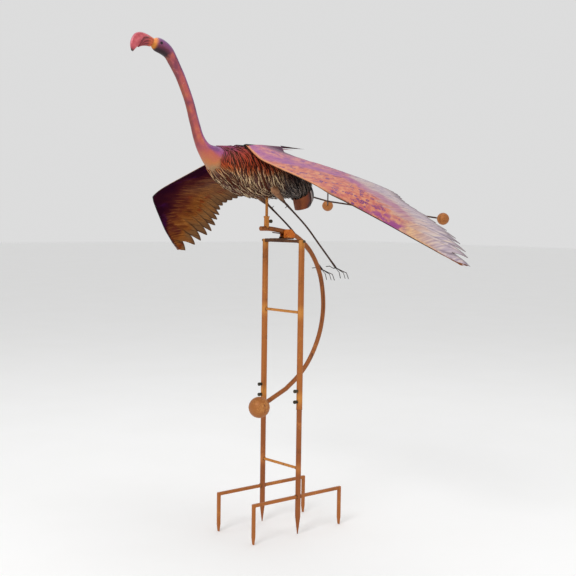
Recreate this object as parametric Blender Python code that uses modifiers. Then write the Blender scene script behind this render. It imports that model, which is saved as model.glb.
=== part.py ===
# A kinetic garden stake: a sheet metal flamingo that rocks on a forked steel stand.
# Metres, +Z up. The head points to -Y and the wings lie along X.
# The origin is on the ground line, midway between the two posts, so the prongs reach below it.

import math
import bpy
import bmesh
from mathutils import Vector

# Clearance between touching pieces, and the slack of a shank in its hole
GAP = 0.0003
HOLE_SLACK = 0.0004

# Stand
POST_HALF_SPACING = 0.110
UPPER_POST_DIAMETER = 0.024
UPPER_POST_WALL = 0.0012
POST_SIDES = 12
UPPER_POST_BOTTOM = 0.351
UPPER_POST_TOP = 1.0115
LOWER_POST_TOP = 0.560
SPIKE_TIP = -0.144
SPIKE_TAPER = 0.070
SPIKE_TIP_DIAMETER = 0.003
BAR_SIZE = 0.012
BAR_HALF_LENGTH = 0.228
BAR_EDGE = 0.0012
PRONG_TIP = -0.144
PRONG_TAPER = 0.030
PRONG_POINT = 0.003
LOW_RUNG_HEIGHT = 0.118
MID_RUNG_HEIGHT = 0.730
RUNG_DIAMETER = 0.011
RAIL_BELOW_POST_TOP = 0.0055
RAIL_DEPTH = 0.020
RAIL_THICKNESS = 0.0115
CLAMP_SCREW_HEIGHTS = (0.382, 0.424)
CLAMP_SCREW_DIAMETER = 0.006
CLAMP_HEAD_DIAMETER = 0.014
CLAMP_HEAD_LENGTH = 0.008
CLAMP_NECK_LENGTH = 0.008
SCREW_HEAD_EDGE = 0.0016
SCREW_SIDES = 10
RAIL_BOLT_DIAMETER = 0.005
RAIL_BOLT_HEAD_DIAMETER = 0.010
RAIL_BOLT_HEAD_LENGTH = 0.007

# Bracket and pivot
PIVOT_Y = 0.007
PIVOT_ABOVE_RAIL = 0.0195
BRACKET_FRONT = -0.006
BRACKET_BACK = 0.046
BRACKET_CREST = 0.0255
BRACKET_GAP = 0.019
CHEEK_THICKNESS = 0.005
CHEEK_FRONT_CORNER = 0.006
CHEEK_BACK_CORNER = 0.016
CHEEK_LOW_CORNER = 0.006
BRACKET_BASE = 0.004
BRACKET_BASE_BACK = 0.012
FLANGE_FRONT = -0.058
PIVOT_BOLT_DIAMETER = 0.008
PIVOT_HEAD_DIAMETER = 0.013
PIVOT_HEAD_LENGTH = 0.004
PIVOT_HEAD_CROWN = 0.0024
PIVOT_SIDES = 16
PIVOT_NUT_LENGTH = 0.006
HUB_DIAMETER = 0.014
HUB_BELOW_ARM = 0.016125
BUMPER_DIAMETER = 0.011
BUMPER_HEIGHT = 0.006
BUMPER_Y = -0.0150

# Rocking arm and its counterweight, drawn in place and set on the pivot at the end
ARM_DIAMETER = 0.018
ARM_ROUTE = (
    (-0.116, 1.0535), (-0.070, 1.0530), (-0.020, 1.0465), (0.016, 1.0400), (0.063, 1.025),
    (0.112, 0.993), (0.148, 0.957), (0.182, 0.905), (0.207, 0.838), (0.219, 0.745),
    (0.209, 0.659), (0.182, 0.583), (0.139, 0.513), (0.087, 0.460), (0.025, 0.416),
)
BALL_DIAMETER = 0.084
BALL_RINGS = 12
BALL_Y = -0.112
BALL_HEIGHT = 0.355
STOP_PIN_DIAMETER = 0.004
STOP_PIN_FRONT = -0.056
STOP_PIN_BEND = -0.016
STOP_PIN_RISE = (0.009, 0.013)
SLEEVE_Y = -0.0865
SLEEVE_DIAMETER = 0.020
SLEEVE_COLLAR_DIAMETER = 0.0235
SLEEVE_COLLAR_LENGTH = 0.006
SLEEVE_LENGTH = 0.0488
SLEEVE_SCREW_BELOW_TOP = 0.020
BIRD_POST_DIAMETER = 0.011
BIRD_POST_REACH = 0.0949
BIRD_POST_SIDES = 14

# Sheet metal bird: upper edge (y, z), lower edge (y, z) and half width of each section
SHELL_WALL = 0.0006
SHELL_SECTIONS = (
    (-0.6125, 1.7190, -0.6220, 1.6910, 0.0125),
    (-0.5900, 1.7245, -0.6060, 1.6750, 0.0190),
    (-0.5650, 1.7170, -0.5800, 1.6660, 0.0230),
    (-0.5410, 1.6990, -0.5570, 1.6550, 0.0225),
    (-0.5220, 1.6740, -0.5420, 1.6350, 0.0195),
    (-0.5010, 1.6400, -0.5270, 1.6130, 0.0175),
    (-0.4766, 1.5957, -0.5064, 1.5803, 0.0168),
    (-0.4423, 1.5204, -0.4727, 1.5076, 0.0165),
    (-0.4136, 1.4386, -0.4474, 1.4274, 0.0178),
    (-0.3945, 1.3910, -0.4315, 1.3790, 0.0200),
    (-0.3740, 1.3665, -0.4160, 1.3450, 0.0270),
    (-0.3480, 1.3585, -0.3980, 1.3180, 0.0360),
    (-0.3120, 1.3580, -0.3720, 1.2850, 0.0500),
    (-0.2700, 1.3590, -0.3250, 1.2380, 0.0660),
    (-0.2250, 1.3600, -0.2500, 1.1960, 0.0780),
    (-0.1700, 1.3580, -0.1650, 1.1780, 0.0830),
    (-0.1100, 1.3530, -0.0850, 1.1750, 0.0820),
    (-0.0480, 1.3400, -0.0150, 1.1780, 0.0750),
    (0.0120, 1.3180, 0.0320, 1.1810, 0.0640),
    (0.0660, 1.2830, 0.0520, 1.1790, 0.0530),
    (0.1120, 1.2430, 0.0570, 1.1730, 0.0460),
    (0.1370, 1.2060, 0.0590, 1.1640, 0.0420),
    (0.1400, 1.1760, 0.0610, 1.1520, 0.0390),
    (0.1240, 1.1460, 0.0690, 1.1260, 0.0340),
)
NECK_SECTIONS = 12
NECK_RINGS = 1
BODY_RINGS = 2
SHELL_SIDES = 18
STRAND_DEPTH = 0.0022
STRAND_PITCH = 1.5
STRAND_SLANT = 0.9
STRAND_FADE = 1.5

# Beak, in sections like the shell's
BEAK_WALL = 0.0006
BEAK_SECTIONS = (
    (-0.6130, 1.7200, -0.6225, 1.6905, 0.0125),
    (-0.6400, 1.7305, -0.6400, 1.6915, 0.0130),
    (-0.6660, 1.7345, -0.6550, 1.6900, 0.0130),
    (-0.6880, 1.7265, -0.6680, 1.6860, 0.0120),
    (-0.7020, 1.7060, -0.6800, 1.6790, 0.0100),
    (-0.7060, 1.6860, -0.6890, 1.6700, 0.0070),
    (-0.7025, 1.6680, -0.6945, 1.6640, 0.0035),
)
BEAK_SIDES = 12

# Legs and feet, drawn for the bird's left side
LEG_ROUTE = (
    (0.059, -0.132, 1.228, 0.0080),
    (0.058, -0.098, 1.204, 0.0155),
    (0.053, -0.066, 1.177, 0.0105),
    (0.050, -0.043, 1.159, 0.0060),
    (0.049, -0.022, 1.143, 0.0036),
    (0.047, 0.075, 1.066, 0.0036),
    (0.044, 0.155, 0.988, 0.0036),
    (0.042, 0.243, 0.900, 0.0036),
)
TOE_RADIUS = 0.0016
TOE_SPREAD = 0.024
TOE_REACH = (0.050, 0.054, 0.050)
TOE_DROP = 0.046
TOE_SHAPE = ((0.0, 0.0, 0.0), (0.5, 0.42, 0.26), (0.9, 0.80, 0.46), (1.0, 1.0, 1.0))
HIND_TOE = ((0.000, -0.002), (-0.014, -0.002), (-0.034, 0.007), (-0.054, 0.006))
KNEE = 4
SHEATH_POINTS = 11
SPUR_LENGTH = 0.016
SPUR_LEAN = {"left": (0.0, -0.8, -0.6), "right": (0.0, 0.8, 0.6)}
LEG_DROP = {"left": 0.0, "right": 0.010}
ANKLE_RADIUS = 0.0044
ANKLE_RINGS = 6

# Wings, drawn for the bird's left side in plan
HINGE_X = 0.030
HINGE_ABOVE_BACK = 0.011
HINGE_FRONT = -0.222
HINGE_REAR = -0.046
HINGE_PIN_DIAMETER = 0.005
KNUCKLE_DIAMETER = 0.0105
KNUCKLE_SLACK = 0.0003
LUG_THICKNESS = 0.004
LUG_WIDTH = 0.008
LUG_CROWN = 0.003
LUG_ROOT = 0.060
WING_SHEET = 0.0006
WING_LEADING_EDGE = (
    (0.085, -0.226), (0.180, -0.247), (0.360, -0.253), (0.520, -0.257), (0.560, -0.242),
    (0.611, -0.195), (0.655, -0.150), (0.739, -0.060), (0.800, 0.020), (0.832, 0.075),
)
WING_TIPS = (
    (0.845, 0.121), (0.809, 0.151), (0.785, 0.167), (0.750, 0.178), (0.725, 0.184),
    (0.687, 0.177), (0.650, 0.160), (0.622, 0.151), (0.586, 0.128), (0.557, 0.120),
    (0.532, 0.122), (0.509, 0.133), (0.488, 0.146), (0.464, 0.157), (0.436, 0.166),
    (0.405, 0.171), (0.372, 0.173), (0.338, 0.172), (0.303, 0.167), (0.267, 0.158),
    (0.231, 0.143), (0.197, 0.122),
)
WING_INNER_EDGE = (0.140, 0.066)
PRIMARY_COUNT = 10
PRIMARY_DEPTH = 0.072
SECONDARY_DEPTH = 0.014
WING_DROOP = (
    (0.0, 33.0), (0.06, 26.0), (0.13, 17.5), (0.30, 16.5), (0.42, 18.5), (0.50, 27.0),
    (0.56, 35.5), (0.70, 39.0), (0.78, 44.0), (0.90, 47.0),
)
WING_CHORD_DROP = 0.06
WING_CAMBER = 0.024
FULL_CAMBER_CHORD = 0.30
LEAST_CHORD = 0.05
DROOP_STEPS = 60
TIP_LEAN = 62.0
ROOT_LEAN = 84.0
NOTCH_LEAN = 0.8
CHORD_STEPS = 4
SHAFT_STEP = 0.001

# Wing counterweights, for the left wing (ball on the bird's right) and for the right wing
WEIGHT_DIAMETER = 0.050
WEIGHT_RINGS = 8
WEIGHT_X = 0.343
WEIGHT_Y = 0.551
WEIGHT_HEIGHTS = {"left": 1.154, "right": 1.101}
CROSSING_Y = 0.235
CROSSING_HEIGHTS = {"left": 1.212, "right": 1.166}
ROD_FOOT_X = 0.268
ROD_FOOT_Y = -0.010
ROD_BEND_X = 0.225
ROD_BEND_DROP = 0.040
ROD_SAG_SHARE = 0.6
WEIGHT_ROD_DIAMETER = 0.0065

RUST = (0.36, 0.16, 0.07)
ORANGE = (0.70, 0.22, 0.04)
FEATHER = (0.42, 0.24, 0.16)
PINK = (0.62, 0.33, 0.45)
BEAK_PINK = (0.72, 0.20, 0.22)
DARK = (0.10, 0.05, 0.03)
BLACK = (0.03, 0.03, 0.03)


def clear_scene():
    for obj in list(bpy.data.objects):
        bpy.data.objects.remove(obj, do_unlink=True)


def make_collection(name):
    collection = bpy.data.collections.new(name)
    bpy.context.scene.collection.children.link(collection)
    return collection


def make_material(name, colour, metallic=0.8, roughness=0.55):
    material = bpy.data.materials.new(name)
    material.use_nodes = True
    shader = material.node_tree.nodes["Principled BSDF"]
    shader.inputs["Base Color"].default_value = (*colour, 1.0)
    shader.inputs["Metallic"].default_value = metallic
    shader.inputs["Roughness"].default_value = roughness
    return material


clear_scene()
PARTS = make_collection("flamingo_garden_stake")
CUTTERS = make_collection("cutters")
MATERIALS = {
    "rust": make_material("rust", RUST),
    "orange": make_material("orange", ORANGE),
    "feather": make_material("feather", FEATHER),
    "pink": make_material("pink", PINK),
    "beak": make_material("beak", BEAK_PINK),
    "dark": make_material("dark", DARK),
    "rubber": make_material("rubber", BLACK, metallic=0.0, roughness=0.8),
}


def add_object(name, data, material):
    obj = bpy.data.objects.new(name, data)
    PARTS.objects.link(obj)
    data.materials.append(MATERIALS[material])
    return obj


def make_cutter(obj):
    PARTS.objects.unlink(obj)
    CUTTERS.objects.link(obj)
    obj.hide_render = True
    obj.display_type = "WIRE"
    return obj


def make_axis(name, location, parent=None):
    """An empty on a joint's axis, which carries the pieces that turn about it."""
    empty = bpy.data.objects.new(name, None)
    PARTS.objects.link(empty)
    empty.location = location
    if parent is not None:
        carry(empty, parent)
    return empty


def carry(obj, axis):
    """Hang a piece on an axis and leave it where it is."""
    bpy.context.view_layer.update()
    obj.parent = axis
    obj.matrix_parent_inverse = axis.matrix_world.inverted()


def carry_new(axis, before):
    """Hang every piece made since the given set of objects on an axis."""
    for obj in list(PARTS.objects):
        if obj not in before and obj.parent is None:
            carry(obj, axis)


def boolean(target, other, operation):
    modifier = target.modifiers.new(operation.lower(), "BOOLEAN")
    modifier.operation = operation
    modifier.object = other
    modifier.solver = "EXACT"
    return modifier


def shade_round(mesh, degrees=35.0):
    mesh.shade_smooth()
    mesh.set_sharp_from_angle(angle=math.radians(degrees))


def curve_to_mesh(obj):
    """Swap a curve object for a mesh object of the same name, with its caps welded."""
    bpy.context.view_layer.update()
    graph = bpy.context.evaluated_depsgraph_get()
    mesh = bpy.data.meshes.new_from_object(obj.evaluated_get(graph), depsgraph=graph)
    bm = bmesh.new()
    bm.from_mesh(mesh)
    bmesh.ops.remove_doubles(bm, verts=bm.verts, dist=0.00001)
    bmesh.ops.recalc_face_normals(bm, faces=bm.faces)
    bm.to_mesh(mesh)
    bm.free()
    name = obj.name
    matrix = obj.matrix_world.copy()
    bpy.data.objects.remove(obj, do_unlink=True)
    solid = bpy.data.objects.new(name, mesh)
    solid.matrix_world = matrix
    PARTS.objects.link(solid)
    return solid


def turned(name, profile, material, location=(0, 0, 0), rotation=(0, 0, 0), steps=24, closed=False):
    """A turned solid: a profile of (radius, height) points, run down its outer side."""
    mesh = bpy.data.meshes.new(name)
    bm = bmesh.new()
    verts = [bm.verts.new((radius, 0.0, height)) for radius, height in profile]
    for first, second in zip(verts, verts[1:]):
        bm.edges.new((first, second))
    if closed:
        bm.edges.new((verts[-1], verts[0]))
    bm.to_mesh(mesh)
    bm.free()
    obj = add_object(name, mesh, material)
    obj.location = location
    obj.rotation_euler = rotation
    screw = obj.modifiers.new("screw", "SCREW")
    screw.steps = steps
    screw.render_steps = steps
    screw.use_merge_vertices = True
    screw.merge_threshold = 0.00001
    return obj


def tube_profile(outer, inner, low, high):
    return [(outer, high), (outer, low), (inner, low), (inner, high)]


def rod_profile(radius, low, high):
    return [(0.0, high), (radius, high), (radius, low), (0.0, low)]


def rod(name, points, radius, material, resolution=3):
    """A round bar along points, each (x, y, z) or (x, y, z, radius)."""
    curve = bpy.data.curves.new(name, "CURVE")
    curve.dimensions = "3D"
    curve.bevel_depth = 1.0
    curve.bevel_resolution = resolution
    curve.use_fill_caps = True
    curve.twist_mode = "MINIMUM"
    spline = curve.splines.new("POLY")
    spline.points.add(len(points) - 1)
    for target, point in zip(spline.points, points):
        target.co = (point[0], point[1], point[2], 1.0)
        target.radius = point[3] if len(point) > 3 else radius
    return curve_to_mesh(add_object(name, curve, material))


def prism(name, outlines, width, material, x_centre=0.0):
    """A flat plate: outlines of (y, z) points, thick along X about x_centre."""
    curve = bpy.data.curves.new(name, "CURVE")
    curve.dimensions = "2D"
    curve.fill_mode = "BOTH"
    curve.extrude = width / 2
    for outline in outlines:
        spline = curve.splines.new("POLY")
        spline.points.add(len(outline) - 1)
        for target, (y, z) in zip(spline.points, outline):
            target.co = (y, z, 0.0, 1.0)
        spline.use_cyclic_u = True
    obj = add_object(name, curve, material)
    obj.location = (x_centre, 0.0, 0.0)
    obj.rotation_euler = (math.pi / 2, 0.0, math.pi / 2)
    return curve_to_mesh(obj)


def smooth_route(points, each=4):
    """Points of a smooth curve through the given ones."""
    vectors = [Vector(point) for point in points]
    padded = [2 * vectors[0] - vectors[1]] + vectors + [2 * vectors[-1] - vectors[-2]]
    route = []
    for index in range(1, len(padded) - 2):
        before, start, end, after = padded[index - 1:index + 3]
        for step in range(each):
            t = step / each
            a = 2 * start
            b = (end - before) * t
            c = (2 * before - 5 * start + 4 * end - after) * t ** 2
            d = (3 * start - before - 3 * end + after) * t ** 3
            route.append(tuple((a + b + c + d) / 2))
    route.append(tuple(vectors[-1]))
    return route


def arc(centre, radius, start, end, count):
    """Points of an arc, with angles in degrees."""
    points = []
    for index in range(count + 1):
        angle = math.radians(start + (end - start) * index / count)
        points.append((centre[0] + radius * math.cos(angle), centre[1] + radius * math.sin(angle)))
    return points


def thumb_screw(name, location, rotation, depth, neck, shank, head_diameter, head_length, material):
    """A screw whose head is along its own +Z: the shank goes depth below the location."""
    radius = shank / 2
    head = head_diameter / 2
    edge = SCREW_HEAD_EDGE
    top = neck + head_length
    profile = [
        (0.0, top), (head - edge, top), (head, top - edge), (head, neck),
        (radius, neck), (radius, -depth), (0.0, -depth),
    ]
    return turned(name, profile, material, location, rotation, steps=SCREW_SIDES)


def drill(target, name, location, rotation, radius, low, high, steps=SCREW_SIDES):
    cutter = turned(name, rod_profile(radius, low, high), "dark", location, rotation, steps)
    boolean(target, make_cutter(cutter), "DIFFERENCE")


FACING_FRONT = (math.pi / 2, 0.0, 0.0)
FACING_BACK = (-math.pi / 2, 0.0, 0.0)
FACING_LEFT = (0.0, math.pi / 2, 0.0)
FACING_RIGHT = (0.0, -math.pi / 2, 0.0)
SIDES = {"left": 1, "right": -1}


def upper_post_bore():
    return UPPER_POST_DIAMETER / 2 - UPPER_POST_WALL


def lower_post_radius():
    return upper_post_bore() - GAP


def rail_height():
    return UPPER_POST_TOP - RAIL_BELOW_POST_TOP


def pivot_height():
    return rail_height() + PIVOT_ABOVE_RAIL


def make_posts():
    for side, sign in SIDES.items():
        x = sign * POST_HALF_SPACING
        outer = UPPER_POST_DIAMETER / 2
        bore = upper_post_bore()
        cap = UPPER_POST_TOP - UPPER_POST_WALL
        profile = [
            (0.0, UPPER_POST_TOP), (outer, UPPER_POST_TOP), (outer, UPPER_POST_BOTTOM),
            (bore, UPPER_POST_BOTTOM), (bore, cap), (0.0, cap),
        ]
        post = turned(side + "_upper_post", profile, "rust", (x, 0.0, 0.0), steps=POST_SIDES)
        radius = lower_post_radius()
        profile = [
            (0.0, LOWER_POST_TOP), (radius, LOWER_POST_TOP), (radius, SPIKE_TIP + SPIKE_TAPER),
            (SPIKE_TIP_DIAMETER / 2, SPIKE_TIP), (0.0, SPIKE_TIP),
        ]
        turned(side + "_lower_post", profile, "rust", (x, 0.0, 0.0), steps=POST_SIDES)
        for index, height in enumerate(CLAMP_SCREW_HEIGHTS, start=1):
            name = "%s_clamp_screw_%d" % (side, index)
            location = (x, -outer, height)
            depth = UPPER_POST_WALL - HOLE_SLACK
            thumb_screw(name, location, FACING_FRONT, depth, CLAMP_NECK_LENGTH, CLAMP_SCREW_DIAMETER,
                        CLAMP_HEAD_DIAMETER, CLAMP_HEAD_LENGTH, "dark")
            drill(post, name + "_hole", location, FACING_FRONT,
                  CLAMP_SCREW_DIAMETER / 2 + HOLE_SLACK, -2 * UPPER_POST_WALL, UPPER_POST_WALL)
        name = side + "_rail_bolt"
        location = (sign * (POST_HALF_SPACING + outer), 0.0, rail_height())
        facing = FACING_LEFT if sign > 0 else FACING_RIGHT
        thumb_screw(name, location, facing, UPPER_POST_WALL - HOLE_SLACK, GAP, RAIL_BOLT_DIAMETER,
                    RAIL_BOLT_HEAD_DIAMETER, RAIL_BOLT_HEAD_LENGTH, "dark")
        drill(post, name + "_hole", location, facing,
              RAIL_BOLT_DIAMETER / 2 + HOLE_SLACK, -2 * UPPER_POST_WALL, UPPER_POST_WALL)


def cope(target, name, x, post_radius):
    """Cut a rung's or a bar's end to the round post that it is welded to."""
    cutter = turned(name, rod_profile(post_radius + GAP, SPIKE_TIP, UPPER_POST_TOP + BAR_SIZE),
                    "dark", (x, 0.0, 0.0), steps=POST_SIDES)
    boolean(target, make_cutter(cutter), "DIFFERENCE")


def make_rungs():
    for name, height, radius in (
        ("mid_rung", MID_RUNG_HEIGHT, UPPER_POST_DIAMETER / 2),
        ("low_rung", LOW_RUNG_HEIGHT, lower_post_radius()),
    ):
        length = POST_HALF_SPACING
        rung = turned(name, rod_profile(RUNG_DIAMETER / 2, -length, length), "rust",
                      (0.0, 0.0, height), FACING_LEFT, steps=POST_SIDES)
        for side, sign in SIDES.items():
            cope(rung, "%s_%s_cope" % (name, side), sign * POST_HALF_SPACING, radius)
    low = rail_height() - RAIL_THICKNESS / 2
    high = rail_height() + RAIL_THICKNESS / 2
    half = RAIL_DEPTH / 2
    outline = [(-half, low), (half, low), (half, high), (-half, high)]
    rail = prism("top_rail", [outline], 2 * POST_HALF_SPACING, "rust")
    for side, sign in SIDES.items():
        cope(rail, "top_rail_%s_cope" % side, sign * POST_HALF_SPACING, UPPER_POST_DIAMETER / 2)


def make_feet():
    """Square bars along Y, each bent down to a prong at its end."""
    for side, sign in SIDES.items():
        for end, way in (("front", -1), ("rear", 1)):
            outer = BAR_HALF_LENGTH
            inner = outer - BAR_SIZE
            shoulder = PRONG_TIP + PRONG_TAPER
            middle = (outer + inner) / 2
            outline = [
                (0.0, 0.0), (inner, 0.0), (inner, shoulder), (middle - PRONG_POINT / 2, PRONG_TIP),
                (middle + PRONG_POINT / 2, PRONG_TIP), (outer, shoulder), (outer, BAR_SIZE),
                (0.0, BAR_SIZE),
            ]
            outline = [(way * y, z) for y, z in outline]
            x = sign * POST_HALF_SPACING
            name = "%s_%s_foot" % (side, end)
            foot = prism(name, [outline], BAR_SIZE, "rust", x)
            bevel = foot.modifiers.new("bevel", "BEVEL")
            bevel.width = BAR_EDGE
            bevel.segments = 1
            bevel.limit_method = "ANGLE"
            cope(foot, name + "_cope", x, lower_post_radius())


def bracket_foot():
    return rail_height() + RAIL_THICKNESS / 2 + GAP


def make_bracket():
    """Two cheeks on a flanged base; the base stops short of the arm's way down at the back."""
    low = bracket_foot()
    front = BRACKET_FRONT
    back = BRACKET_BACK
    top = pivot_height() + BRACKET_CREST
    width = BRACKET_GAP + 2 * CHEEK_THICKNESS
    outline = [
        (FLANGE_FRONT, low), (back - CHEEK_LOW_CORNER, low), (back, low + CHEEK_LOW_CORNER),
        (back, top - CHEEK_BACK_CORNER), (back - CHEEK_BACK_CORNER, top),
        (front + CHEEK_FRONT_CORNER, top), (front, top - CHEEK_FRONT_CORNER),
        (front, low + BRACKET_BASE), (FLANGE_FRONT, low + BRACKET_BASE),
    ]
    bracket = prism("bracket", [outline], width, "orange")
    spare = CHEEK_THICKNESS
    slot = [
        (front - spare, low + BRACKET_BASE), (BRACKET_BASE_BACK, low + BRACKET_BASE),
        (BRACKET_BASE_BACK, low - spare), (back + spare, low - spare),
        (back + spare, top + spare), (front - spare, top + spare),
    ]
    boolean(bracket, make_cutter(prism("bracket_slot", [slot], BRACKET_GAP, "dark")), "DIFFERENCE")
    radius = PIVOT_BOLT_DIAMETER / 2
    centre = (0.0, PIVOT_Y, pivot_height())
    drill(bracket, "bracket_hole", centre, FACING_LEFT, radius + GAP, -width, width, steps=PIVOT_SIDES)

    half = width / 2 + GAP
    head = PIVOT_HEAD_DIAMETER / 2
    tail = half + PIVOT_NUT_LENGTH + GAP
    profile = [
        (0.0, half + PIVOT_HEAD_LENGTH), (head - PIVOT_HEAD_CROWN, half + PIVOT_HEAD_LENGTH),
        (head, half + PIVOT_HEAD_LENGTH - PIVOT_HEAD_CROWN), (head, half),
        (radius, half), (radius, -tail), (0.0, -tail),
    ]
    turned("pivot_bolt", profile, "dark", centre, FACING_LEFT, steps=PIVOT_SIDES)
    nut = tube_profile(head, radius + GAP, -half - PIVOT_NUT_LENGTH, -half)
    turned("pivot_nut", nut, "dark", centre, FACING_LEFT, steps=PIVOT_SIDES, closed=True)
    bumper_low = low + BRACKET_BASE + GAP
    turned("stop_bumper", rod_profile(BUMPER_DIAMETER / 2, bumper_low, bumper_low + BUMPER_HEIGHT),
           "rubber", (0.0, BUMPER_Y, 0.0), steps=POST_SIDES)


def make_ball(name, centre, diameter, rings, material):
    mesh = bpy.data.meshes.new(name)
    bm = bmesh.new()
    bmesh.ops.create_uvsphere(bm, u_segments=rings + rings // 2, v_segments=rings, radius=diameter / 2)
    bm.to_mesh(mesh)
    bm.free()
    mesh.shade_smooth()
    ball = add_object(name, mesh, material)
    ball.location = centre
    return ball


def height_at(line, y):
    """Height of a line of (y, z) points at y."""
    for (y0, z0), (y1, z1) in zip(line, line[1:]):
        if min(y0, y1) <= y <= max(y0, y1) and y0 != y1:
            return z0 + (z1 - z0) * (y - y0) / (y1 - y0)
    return line[-1][1]


def hub_height():
    """The pivot as the arm and the bird are drawn, under the arm."""
    return height_at(ARM_ROUTE, PIVOT_Y) - HUB_BELOW_ARM


def sleeve_top():
    return height_at(ARM_ROUTE, SLEEVE_Y) + SLEEVE_LENGTH


def bird_post_top():
    belly = [(section[2], section[3]) for section in SHELL_SECTIONS[NECK_SECTIONS - 1:]]
    return height_at(belly, SLEEVE_Y) + BIRD_POST_REACH


def hinge_height():
    back = [(section[0], section[1]) for section in SHELL_SECTIONS[NECK_SECTIONS - 1:]]
    return height_at(back, hinge_middle()) + HINGE_ABOVE_BACK


def arm_route():
    return smooth_route([(0.0, y, z) for y, z in ARM_ROUTE], each=2)


def make_arm():
    route = arm_route()
    last = Vector(route[-1])
    centre = Vector((0.0, BALL_Y, BALL_HEIGHT))
    run = centre - last
    reach = (run.length - BALL_DIAMETER / 2 - GAP) / run.length
    route += [tuple(last + run * reach * share) for share in (1 / 3, 2 / 3, 1)]
    arm = rod("arm", route, ARM_DIAMETER / 2, "rust", resolution=3)
    hub_length = BRACKET_GAP - 4 * GAP
    axle = (0.0, PIVOT_Y, hub_height())
    hub = tube_profile(HUB_DIAMETER / 2, PIVOT_BOLT_DIAMETER / 2 + GAP, -hub_length / 2, hub_length / 2)
    turned("pivot_hub", hub, "rust", axle, FACING_LEFT, steps=PIVOT_SIDES, closed=True)
    seat = HUB_DIAMETER / 2 + GAP
    drill(arm, "hub_seat", axle, FACING_LEFT, seat, -hub_length, hub_length, steps=PIVOT_SIDES)
    make_ball("counterweight_ball", centre, BALL_DIAMETER, BALL_RINGS, "rust")

    low, high = STOP_PIN_RISE
    pin_route = [
        (0.0, PIVOT_Y - PIVOT_BOLT_DIAMETER / 2, hub_height()), (0.0, STOP_PIN_BEND, hub_height() + low),
        (0.0, STOP_PIN_FRONT, hub_height() + high),
    ]
    pin = rod("stop_pin", pin_route, STOP_PIN_DIAMETER / 2, "dark", resolution=2)
    drill(pin, "pin_seat", axle, FACING_LEFT, seat, -hub_length, hub_length, steps=PIVOT_SIDES)


def make_sleeve():
    low = height_at(ARM_ROUTE, SLEEVE_Y)
    top = sleeve_top()
    bore = BIRD_POST_DIAMETER / 2 + GAP
    outer = SLEEVE_DIAMETER / 2
    collar = SLEEVE_COLLAR_DIAMETER / 2
    neck = top - SLEEVE_COLLAR_LENGTH
    profile = [
        (collar, top), (collar, neck), (outer, neck), (outer, low), (bore, low), (bore, top),
    ]
    sleeve = turned("sleeve", profile, "rust", (0.0, SLEEVE_Y, 0.0), steps=PIVOT_SIDES, closed=True)
    location = (0.0, SLEEVE_Y + outer, top - SLEEVE_SCREW_BELOW_TOP)
    wall = outer - bore
    thumb_screw("sleeve_screw", location, FACING_BACK, wall - HOLE_SLACK, CLAMP_NECK_LENGTH,
                CLAMP_SCREW_DIAMETER, CLAMP_HEAD_DIAMETER, CLAMP_HEAD_LENGTH, "dark")
    drill(sleeve, "sleeve_screw_hole", location, FACING_BACK,
          CLAMP_SCREW_DIAMETER / 2 + HOLE_SLACK, -wall - GAP, wall)
    post = turned("bird_post", rod_profile(BIRD_POST_DIAMETER / 2, low, bird_post_top()), "orange",
                  (0.0, SLEEVE_Y, 0.0), steps=BIRD_POST_SIDES)
    saddle = [(x, y, z, ARM_DIAMETER / 2 + GAP) for x, y, z in arm_route()]
    for piece in (sleeve, post):
        boolean(piece, make_cutter(rod(piece.name + "_saddle", saddle, 0.0, "dark")), "DIFFERENCE")


def section_ring(section, count, offset):
    """Points of one oval section; offset(angle) moves a point in or out."""
    upper = Vector((0.0, section[0], section[1]))
    lower = Vector((0.0, section[2], section[3]))
    middle = (upper + lower) / 2
    half_height = (upper - lower) / 2
    half_width = Vector((section[4], 0.0, 0.0))
    points = []
    for index in range(count):
        angle = 2 * math.pi * index / count
        arm = half_height * math.cos(angle) + half_width * math.sin(angle)
        points.append(middle + arm + arm.normalized() * offset(angle))
    return points


def loft(name, sections, sides, material, offset=None, closed=False):
    """Oval sections joined into a skin, closed at its first section and, if asked, at its last."""
    bm = bmesh.new()
    rings = []
    for at, section in enumerate(sections):
        ring = section_ring(section, sides, lambda angle: offset(at, angle) if offset else 0.0)
        rings.append([bm.verts.new(point) for point in ring])
    for first, second in zip(rings, rings[1:]):
        for index in range(sides):
            after = (index + 1) % sides
            bm.faces.new((first[index], first[after], second[after], second[index]))
    bm.faces.new(rings[0])
    if closed:
        bm.faces.new(rings[-1])
    bmesh.ops.recalc_face_normals(bm, faces=bm.faces)
    mesh = bpy.data.meshes.new(name)
    bm.to_mesh(mesh)
    bm.free()
    shade_round(mesh, 60.0)
    return add_object(name, mesh, material)


def add_wall(obj, thickness, offset):
    solid = obj.modifiers.new("wall", "SOLIDIFY")
    solid.thickness = thickness
    solid.offset = offset


def strand_relief(index, angle):
    """Rows of welded strands over the body, none on the smooth neck and chest."""
    body_start = (NECK_SECTIONS - 1) * NECK_RINGS
    travel = (index - body_start) / BODY_RINGS
    fade = max(0.0, min(1.0, travel / STRAND_FADE))
    side = abs(math.pi - abs(angle - math.pi)) / math.pi
    return STRAND_DEPTH * fade * math.sin(2 * math.pi * (travel / STRAND_PITCH - STRAND_SLANT * side))


def shell_sections():
    head = smooth_route(SHELL_SECTIONS[:NECK_SECTIONS], each=NECK_RINGS)
    body = smooth_route(SHELL_SECTIONS[NECK_SECTIONS - 1:], each=BODY_RINGS)
    return head + body[1:]


def make_shell():
    shell = loft("bird_shell", shell_sections(), SHELL_SIDES, "feather", strand_relief)
    add_wall(shell, SHELL_WALL, -1.0)
    radius = BIRD_POST_DIAMETER / 2 + GAP
    drill(shell, "shell_post_hole", (0.0, SLEEVE_Y, 0.0), (0, 0, 0), radius, sleeve_top(),
          bird_post_top() + GAP, steps=BIRD_POST_SIDES)
    return shell


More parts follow.
